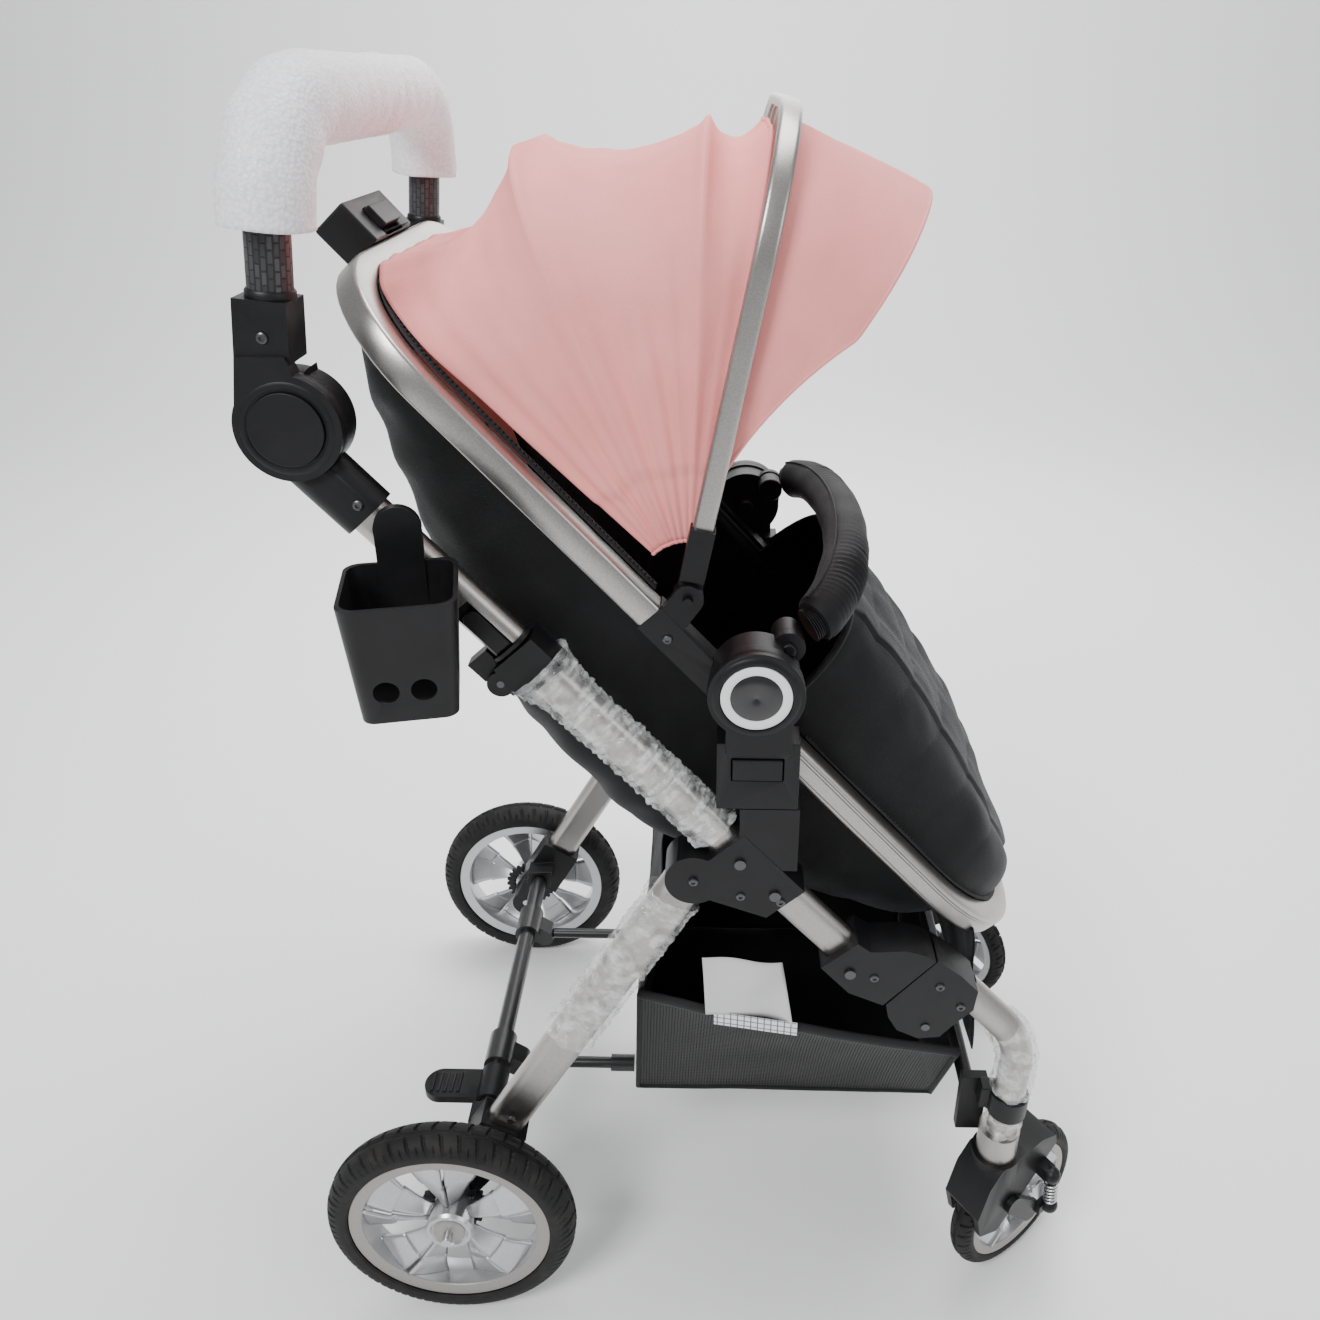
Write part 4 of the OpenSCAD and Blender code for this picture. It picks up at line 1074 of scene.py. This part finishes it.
def inner_collar():
    """Black inner cloth from the liner's edge up to the ring, on each side."""
    rows = []
    for s in np.linspace(60, 520, 90):
        w = ring_half(s, RING_W - RING_T / 2) - 7.5
        low = min(146, w - 10)
        row = []
        for f in np.linspace(0, 1, 16):
            depth = mix(tub_depth(s) - 34, -4, f ** 0.85)
            sag = 3 * ripple((s, f * 120, 0), 0.02, 43) * math.sin(math.pi * f)
            row.append(on_ring(s, depth, -mix(low, w, min(1, f * 1.8)) + sag))
        rows.append(row)
    obj = grid("inner_collar", rows, "black_fabric", sharp=0)
    thicken(obj, 1.6, 0)
    both("inner_collar", obj, "seat", "black_fabric")


def muff_high(s):
    return 26 + 74 * max(0.0, math.cos(math.pi / 2 * (s - 478) / 362)) ** 0.8


def footmuff():
    """Quilted cover over the legs: a padded dome with a raised inner panel and stitched channels."""
    rows = []
    for s in np.linspace(482, 834, 110):
        w = ring_half(s, RING_W - RING_T / 2 - 2.5)
        h = muff_high(s) + 2
        corner = max(5, min(74, w * 0.6, h - 9))
        row = []
        for y, top in u_line(w, 7.0, h, corner, 130):
            side = abs(y) / max(w, 1)
            share = (top - 7) / max(1, h - 7)
            panel = 4.5 / (1 + math.exp((abs(y) - 0.60 * w) / 2.2))
            channel = 2.4 * abs(math.sin((s - 482) * math.pi / 58 + 0.35 * (y / 60) ** 2)) ** 0.5 - 2.2
            soft = ripple((s, y, top), 0.012, 51) * 5 + ripple((s, y, top), 0.03, 53) * 2.0
            seam = -2.6 * math.exp(-((abs(y) - 0.60 * w) / 2.0) ** 2)
            ends = min(1, (s - 480) / 18, (836 - s) / 24)
            rise = (panel + channel * share + soft * share + seam) * max(0, ends) * min(1, share * 2.2)
            sway = math.copysign(1, y) * 1.2 * side * ripple((s, y, top), 0.03, 57)
            row.append(on_ring(s, -(top + rise * (1 - 0.5 * side ** 4)), y - sway))
        rows.append(row)
    muff = grid("footmuff_cover", rows, "black_fabric", sharp=0, flip=True)
    thicken(muff, 6.0, -1)
    settle(muff, "seat", "black_fabric", "footmuff")
    piping("footmuff_lip", rows[0][4:126], 3.4, "black_fabric", "seat", "black_fabric")


def zipper(name, s0, s1):
    """Tape with two rows of teeth along the inside of the ring."""
    rows = []
    spots = np.array([on_ring(s, -13.0, y) for s, y in ring_path(s0, s1, -17)])
    far = lengths(spots) / MM
    at = np.linspace(0, far[-1], int(far[-1] / 1.1))
    line = np.stack([np.interp(at, far, spots[:, k]) for k in range(3)], 1)
    for i, (_, side, lift) in enumerate(frames(line, -BELOW)):
        tooth = 1.5 if (i // 2) % 2 else 0.2
        outline = ((-7, 0), (-3.4, 0.3), (-2.6, 0.6 + tooth), (-0.3, 0.8 + tooth), (0, 0.6),
                   (0.3, 2.3 - tooth), (2.6, 2.1 - tooth), (3.4, 0.3), (7, 0))
        rows.append([line[i] + side * a + lift * b for a, b in outline])
    settle(grid(name, rows, "webbing", sharp=30, flip=True), "seat", "webbing")


def strap(name, s0, s1, y0, y1, width, lift):
    rows = []
    for f in np.linspace(0, 1, 40):
        s, y = mix(s0, s1, f), mix(y0, y1, f)
        rows.append([on_ring(s, tub_depth(s) - lift - 1.5 * (1 - abs(g) ** 3), y + g * width / 2)
                     for g in np.linspace(-1, 1, 9)])
    return settle(thicken(grid(name, rows, "webbing", sharp=0, flip=True), 2.0, 0), "seat", "webbing")


def harness():
    for sign, side in ((-1, "right"), (1, "left")):
        pad = strap(f"harness_shoulder_{side}", 160, 392, sign * 55, sign * 22, 25, 34)
        if sign < 0:
            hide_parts("harness")
    strap("harness_crotch", 430, 486, 0, 0, 30, 33)
    buckle = sweep("harness_buckle", [on_ring(410, tub_depth(410) - h) for h in (33, 35, 41, 43)],
                   lambda i: circle((22, 24, 24, 20)[i], 28), "moulded_black", up=SIDE, sharp=50)
    settle(buckle, "seat", "moulded_black")


seat_tub()
seat_liner()
inner_collar()
footmuff()
zipper("zip_hood", 0, 330)
zipper("zip_footmuff", 520, RING_LEN)
harness()

# ------------------------------------------------------------- handle, bumper


def handle_point(h, y):
    return GRIP_BASE + np.array([math.sin(GRIP_LEAN) * h, y, math.cos(GRIP_LEAN) * h])


def handle_path(h0, step=120):
    return [handle_point(h, y) for y, h in u_line(FRAME_Y, h0, GRIP_RISE, GRIP_BEND, step)]


def handle():
    tube = sweep("grip_tube", handle_path(-29), circle(15.5, 32), "woven_leather", up=(1, 0, 0), sharp=0)
    settle(tube, "handle", "woven_leather", "handle_tube")
    path = handle_path(50, 190)
    rings = []
    for i, p in enumerate(path):
        fold = 1.0 - 0.03 * abs(ripple(p, 0.03, 61)) - 0.012 * math.sin(i * 0.5)
        ring = []
        for x, z in circle(1, 40):
            r = 24.6 * fold + 1.1 * ripple(p + np.array([x * 25, 0, z * 25]), 0.045, 67)
            ring.append((r * x, r * z))
        rings.append(ring)
    foam = sweep("foam_wrap", path, lambda i: rings[i], "foam_white", up=(1, 0, 0), sharp=0, caps=False)
    thicken(foam, 7.5, -1)
    settle(foam, "handle", "foam", "handle_sleeve")
    for sign, side in ((-1, "right"), (1, "left")):
        cuff = sweep(f"grip_cuff_{side}", [handle_point(h, sign * FRAME_Y) for h in (1, 2.5, 8, 9.5)],
                     lambda i: circle((16.2, 17.2, 17.2, 16.2)[i], 32), "moulded_black", up=(1, 0, 0), sharp=50)
        settle(cuff, "handle", "moulded_black")


def hub_caps():
    """Raised ring and sunk face on each handle hub."""
    sunk = [(0.02, -236.4), (18, -236.3), (23.5, -236.6), (25.4, -237.0), (26.6, -236.6), (26.8, -233)]
    face = lathe("hub_face", sunk, "moulded_black", 72, 50, HANDLE_HUB)
    twin = mirrored("hub_face_left", face)
    face.name = "hub_face_right"
    settle(face, "button_right", "moulded_black")
    settle(twin, "button_left", "moulded_black")
    raised = [(29.4, -234.4), (30.8, -234.9), (34.2, -234.0), (37.7, -231.6), (39.2, -227.5), (39.2, -223)]
    for name, spot, body in (("seat_hub_dome", SEAT_HUB, "seat_carrier"), ("handle_hub_dome", HANDLE_HUB, "handle")):
        both(name, lathe(name, raised, "moulded_black", 72, 50, spot), body, "moulded_black")


def bumper_point(a):
    r = 12 + BUMPER_REACH * math.sin(a)
    return BUMPER_PIVOT + np.array([r * math.cos(BUMPER_DEG), -BUMPER_HALF * math.cos(a), r * math.sin(BUMPER_DEG)])


def bumper():
    """Padded bar in a black sleeve, gathered where it bends, with a piped seam on each face."""
    angles = np.radians(np.linspace(13.5, 166.5, 150))
    path = [bumper_point(a) for a in angles]
    plane_up = (-math.sin(BUMPER_DEG), 0, math.cos(BUMPER_DEG))

    def section(i):
        f = i / (len(path) - 1)
        bend = max(0.0, 1 - abs(min(f, 1 - f) - 0.22) / 0.2)
        end = min(1.0, min(f, 1 - f) / 0.03)
        out = []
        for x, z in circle(1, 44):
            crease = 1.3 * bend * math.sin(f * 330 + 2 * ripple(path[i], 0.02, 73)) * max(0, x) ** 0.7
            soft = 1.3 * ripple(path[i] + np.array([x * 18, 0, z * 18]), 0.03, 71)
            r = (21.0 + crease + soft) * mix(0.86, 1.0, end)
            out.append((r * x, r * z))
        return out
    cover = sweep("bumper_cover", path, section, "black_fabric", up=plane_up, sharp=0)
    settle(cover, "bumper", "black_fabric", "bumper_bar")
    for name, sign in (("bumper_seam_upper", 1), ("bumper_seam_lower", -1)):
        line = [p + sign * 21.6 * lift for p, (_, _, lift) in zip(path, frames(path, plane_up))][3:-3]
        piping(name, line, 1.3, "black_fabric", "bumper", "black_fabric")
    teeth = []
    for k in range(6):
        a = math.radians(7.2 + 1.2 * k)
        line = [bumper_point(a), bumper_point(a + 0.010)]
        teeth.append(sweep("clip_rib", line, circle(15.2 - 0.2 * k, 24), "moulded_black", up=plane_up))
    clip = join("bumper_clip_rib", teeth)
    both("bumper_clip_rib", clip, "bumper", "moulded_black")


handle()
hub_caps()
bumper()

# --------------------------------------------------------------------- basket


def tucked(obj, slot, *nodes):
    """A piece of the basket, on the chassis body, with a mesh of its own."""
    settle(obj, "chassis", slot, *nodes)
    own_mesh(obj)


def patch(corners, out, rows, columns, seed, wave):
    """Points across four corners, waved along the direction out."""
    a, b, c, d = (np.array(p, float) for p in corners)
    out = np.array(out, float)
    flat = [[mix(mix(a, b, f), mix(d, c, f), g) for g in np.linspace(0, 1, columns)] for f in np.linspace(0, 1, rows)]
    return [[p + out * wave * ripple(p, 0.02, seed) for p in row] for row in flat]


def wall(a, b, c, d, seed):
    """One side of the basket, from its foot a-b to its rim d-c, sagging inwards."""
    a, b, c, d = (np.array(p, float) for p in (a, b, c, d))
    middle = mix(a, b, 0.5)
    inward = np.array([339 - middle[0], -middle[1], 0])
    inward /= np.linalg.norm(inward)
    rows = []
    for f in np.linspace(0, 1, 60):
        row = []
        for g in np.linspace(0, 1, 30):
            p = mix(mix(a, b, f), mix(d, c, f), g)
            sag = 9 * math.sin(math.pi * f) * math.sin(math.pi * g) ** 0.8
            wave = 2.5 * ripple(p, 0.018, seed) * math.sin(math.pi * f)
            droop = np.array([0, 0, -7 * math.sin(math.pi * f) * g ** 3])
            row.append(p + inward * (sag + wave + 1.5) + droop)
        rows.append(row)
    return rows


def basket():
    """Tray with mesh sides, cloth ends and floor, bound edges, a front apron and a curtain on its far side."""
    low = [(178, -125, 158), (500, -125, 158), (500, 125, 158), (178, 125, 158)]
    high = [(188, -185, 356), (505, -185, 285), (505, 185, 285), (188, 185, 356)]
    walls = [wall(low[k], low[(k + 1) % 4], high[(k + 1) % 4], high[k], 81 + k) for k in range(4)]
    nets = [grid(f"net_{k}", rows, ("mesh_fabric", "black_fabric")[k % 2], sharp=0) for k, rows in enumerate(walls)]
    tucked(join("basket_net", nets), "mesh_fabric", "basket")
    floor_rows = [[(x, y, 160 + 2.2 * ripple((x, y, 0), 0.012, 91)) for y in np.linspace(-123, 123, 40)]
                  for x in np.linspace(180, 498, 50)]
    floor = grid("basket_floor", floor_rows, "black_fabric", sharp=0, flip=True)
    thicken(floor, 2.0, 0)
    tucked(floor, "mesh_fabric")
    for name, corners, out in (
            ("basket_apron", [(520, -182, 288), (520, 182, 288), (504, 182, 440), (504, -182, 440)], (1, 0, 0)),
            ("basket_lining", [(182, 116, 163), (496, 116, 163), (500, 171, 284), (193, 171, 352)], (0, 1, 0)),
            ("basket_curtain", [(194, 172, 350), (500, 172, 282), (494, 180, 420), (240, 180, 500)], (0, 1, 0)),
            ("basket_back_panel", [(190, -182, 354), (190, 182, 354), (206, 182, 425), (206, -182, 425)], (1, 0, 0))):
        cloth = grid(name, patch(corners, out, 60, 30, 99, 4.0), "black_fabric", sharp=0)
        thicken(cloth, 1.6, 0)
        tucked(cloth, "black_fabric")
    rim_line, edge = ([row[k] for rows in walls for row in rows[:-1]] for k in (-1, 0))
    bands = (("basket_rim", rim_line, [(a * 2.8, b * 7.0) for a, b in circle(1, 12)]),
             ("basket_foot_binding", edge, circle(2.4, 8)))
    for name, line, section in bands:
        tucked(sweep(name, line, section, "webbing", closed=True, sharp=0), "webbing")
    for k, rows in enumerate(walls):
        tucked(sweep(f"basket_corner_{k}", rows[0], circle(2.3, 8), "webbing", up=(1, 0, 0), sharp=0), "webbing")
    corners = [(261, -188.5, 323), (343, -188.5, 309), (343, -189.5, 327), (261, -189.5, 341)]
    strip = patch(corners, (0, 1, 0), 24, 6, 93, 1.0)
    tucked(grid("reflective_tape", strip, "reflective_strip", sharp=0), "mesh_fabric")
    corners = [(253, -189, 340), (338, -189, 325), (326, -180, 396), (249, -184, 402)]
    label = patch(corners, (0, 1, 0), 24, 14, 95, 14.0)
    sticker = grid("blank_label", label, "label_white", sharp=0)
    thicken(sticker, 0.5, 0)
    tucked(sticker, "webbing")


basket()

# ------------------------------------------------------------------ film wrap


def film(name, start, end, half_w, half_t, body, up, seed, loose=1.0, wide_start=0.0):
    """A crumpled clear sleeve round a tube, with a ragged end."""
    start, end = np.asarray(start, float), np.asarray(end, float)
    span = np.linalg.norm(end - start)
    steps = max(30, int(span / 1.9))
    path = [mix(start, end, f) for f in np.linspace(0, 1, steps)]

    def section(i):
        f = i / (steps - 1)
        out = []
        ragged = 1 + 0.5 * max(0, 0.06 - min(f, 1 - f)) / 0.06
        flare = wide_start * math.exp(-(f * 9) ** 2)
        for k in range(56):
            a = 2 * math.pi * k / 56
            ring = math.sin(f * span * 0.42 + 1.6 * ripple((f * span, k * 3, 0), 0.03, seed))
            crush = ripple((f * span * 1.6, 16 * math.cos(a), 16 * math.sin(a)), 0.085, seed + 3)
            fine = ripple((f * span * 2.2, 30 * math.cos(a), 30 * math.sin(a)), 0.13, seed + 5)
            puff = (1.7 + 1.1 * abs(ring) + 2.0 * abs(crush) + 1.1 * fine) * loose * ragged + flare
            out.append(((half_t + max(0.5, puff)) * math.cos(a), (half_w + max(0.5, puff)) * math.sin(a)))
        return out
    obj = sweep(name, path, section, "clear_film", up=up, caps=False, sharp=28)
    both(name, obj, body, "moulded_black")


def leg_point(s):
    """Middle of the front leg: up from its foot, round the bend, and on to the knuckle."""
    rise, r, turn, tilt = 118, 80, math.radians(45), math.radians(2)
    if s < rise:
        x, z = 0, s
    elif s < rise + r * turn:
        a = (s - rise) / r
        x, z = -r + r * math.cos(a), rise + r * math.sin(a)
    else:
        d = s - rise - r * turn
        x, z = -r + r * math.cos(turn) - d * math.sin(turn), rise + r * math.sin(turn) + d * math.cos(turn)
    c, sn = math.cos(tilt), math.sin(tilt)
    return LEG_FOOT + np.array([x * c + z * sn, -CASTER_Y, -x * sn + z * c])


def films():
    film("film_tube", on_tube(176, 0, -FRAME_Y), on_tube(390, 0, -FRAME_Y), 17.5, 12.5, "chassis", BELOW,
         101, 1.6, 7.0)
    leg = np.array([math.cos(REAR_LEG_DEG), 0, math.sin(REAR_LEG_DEG)])
    across = np.cross(leg, SIDE)
    top = REAR_PIVOT + SIDE * -FRAME_Y
    film("film_rear_leg", top + leg * 34, top + leg * 236, 20.5, 11.5, "rear_frame", across, 111, 1.5)
    for name, s0, s1, seed, loose in (("film_front_leg", 86, 176, 121, 1.4), ("film_front_foot", 34, 55, 131, 0.9)):
        path = [leg_point(s) for s in np.linspace(s0, s1, max(12, int((s1 - s0) / 1.9)))]

        def section(i, seed=seed, loose=loose, path=path):
            out = []
            for k in range(52):
                a = 2 * math.pi * k / 52
                crush = ripple(path[i] + np.array([18 * math.cos(a), 18 * math.sin(a), 0]), 0.09, seed)
                fine = ripple(path[i] * 1.4 + np.array([28 * math.cos(a), 28 * math.sin(a), 0]), 0.15, seed + 2)
                r = 15.4 + max(0.5, (2.2 + 3.0 * abs(crush) + 1.6 * fine) * loose)
                out.append((r * math.cos(a), r * math.sin(a)))
            return out
        obj = sweep(name, path, section, "clear_film", up=(1, 0, 0), caps=False, sharp=28)
        both(name, obj, "front_frame", "moulded_black")


films()
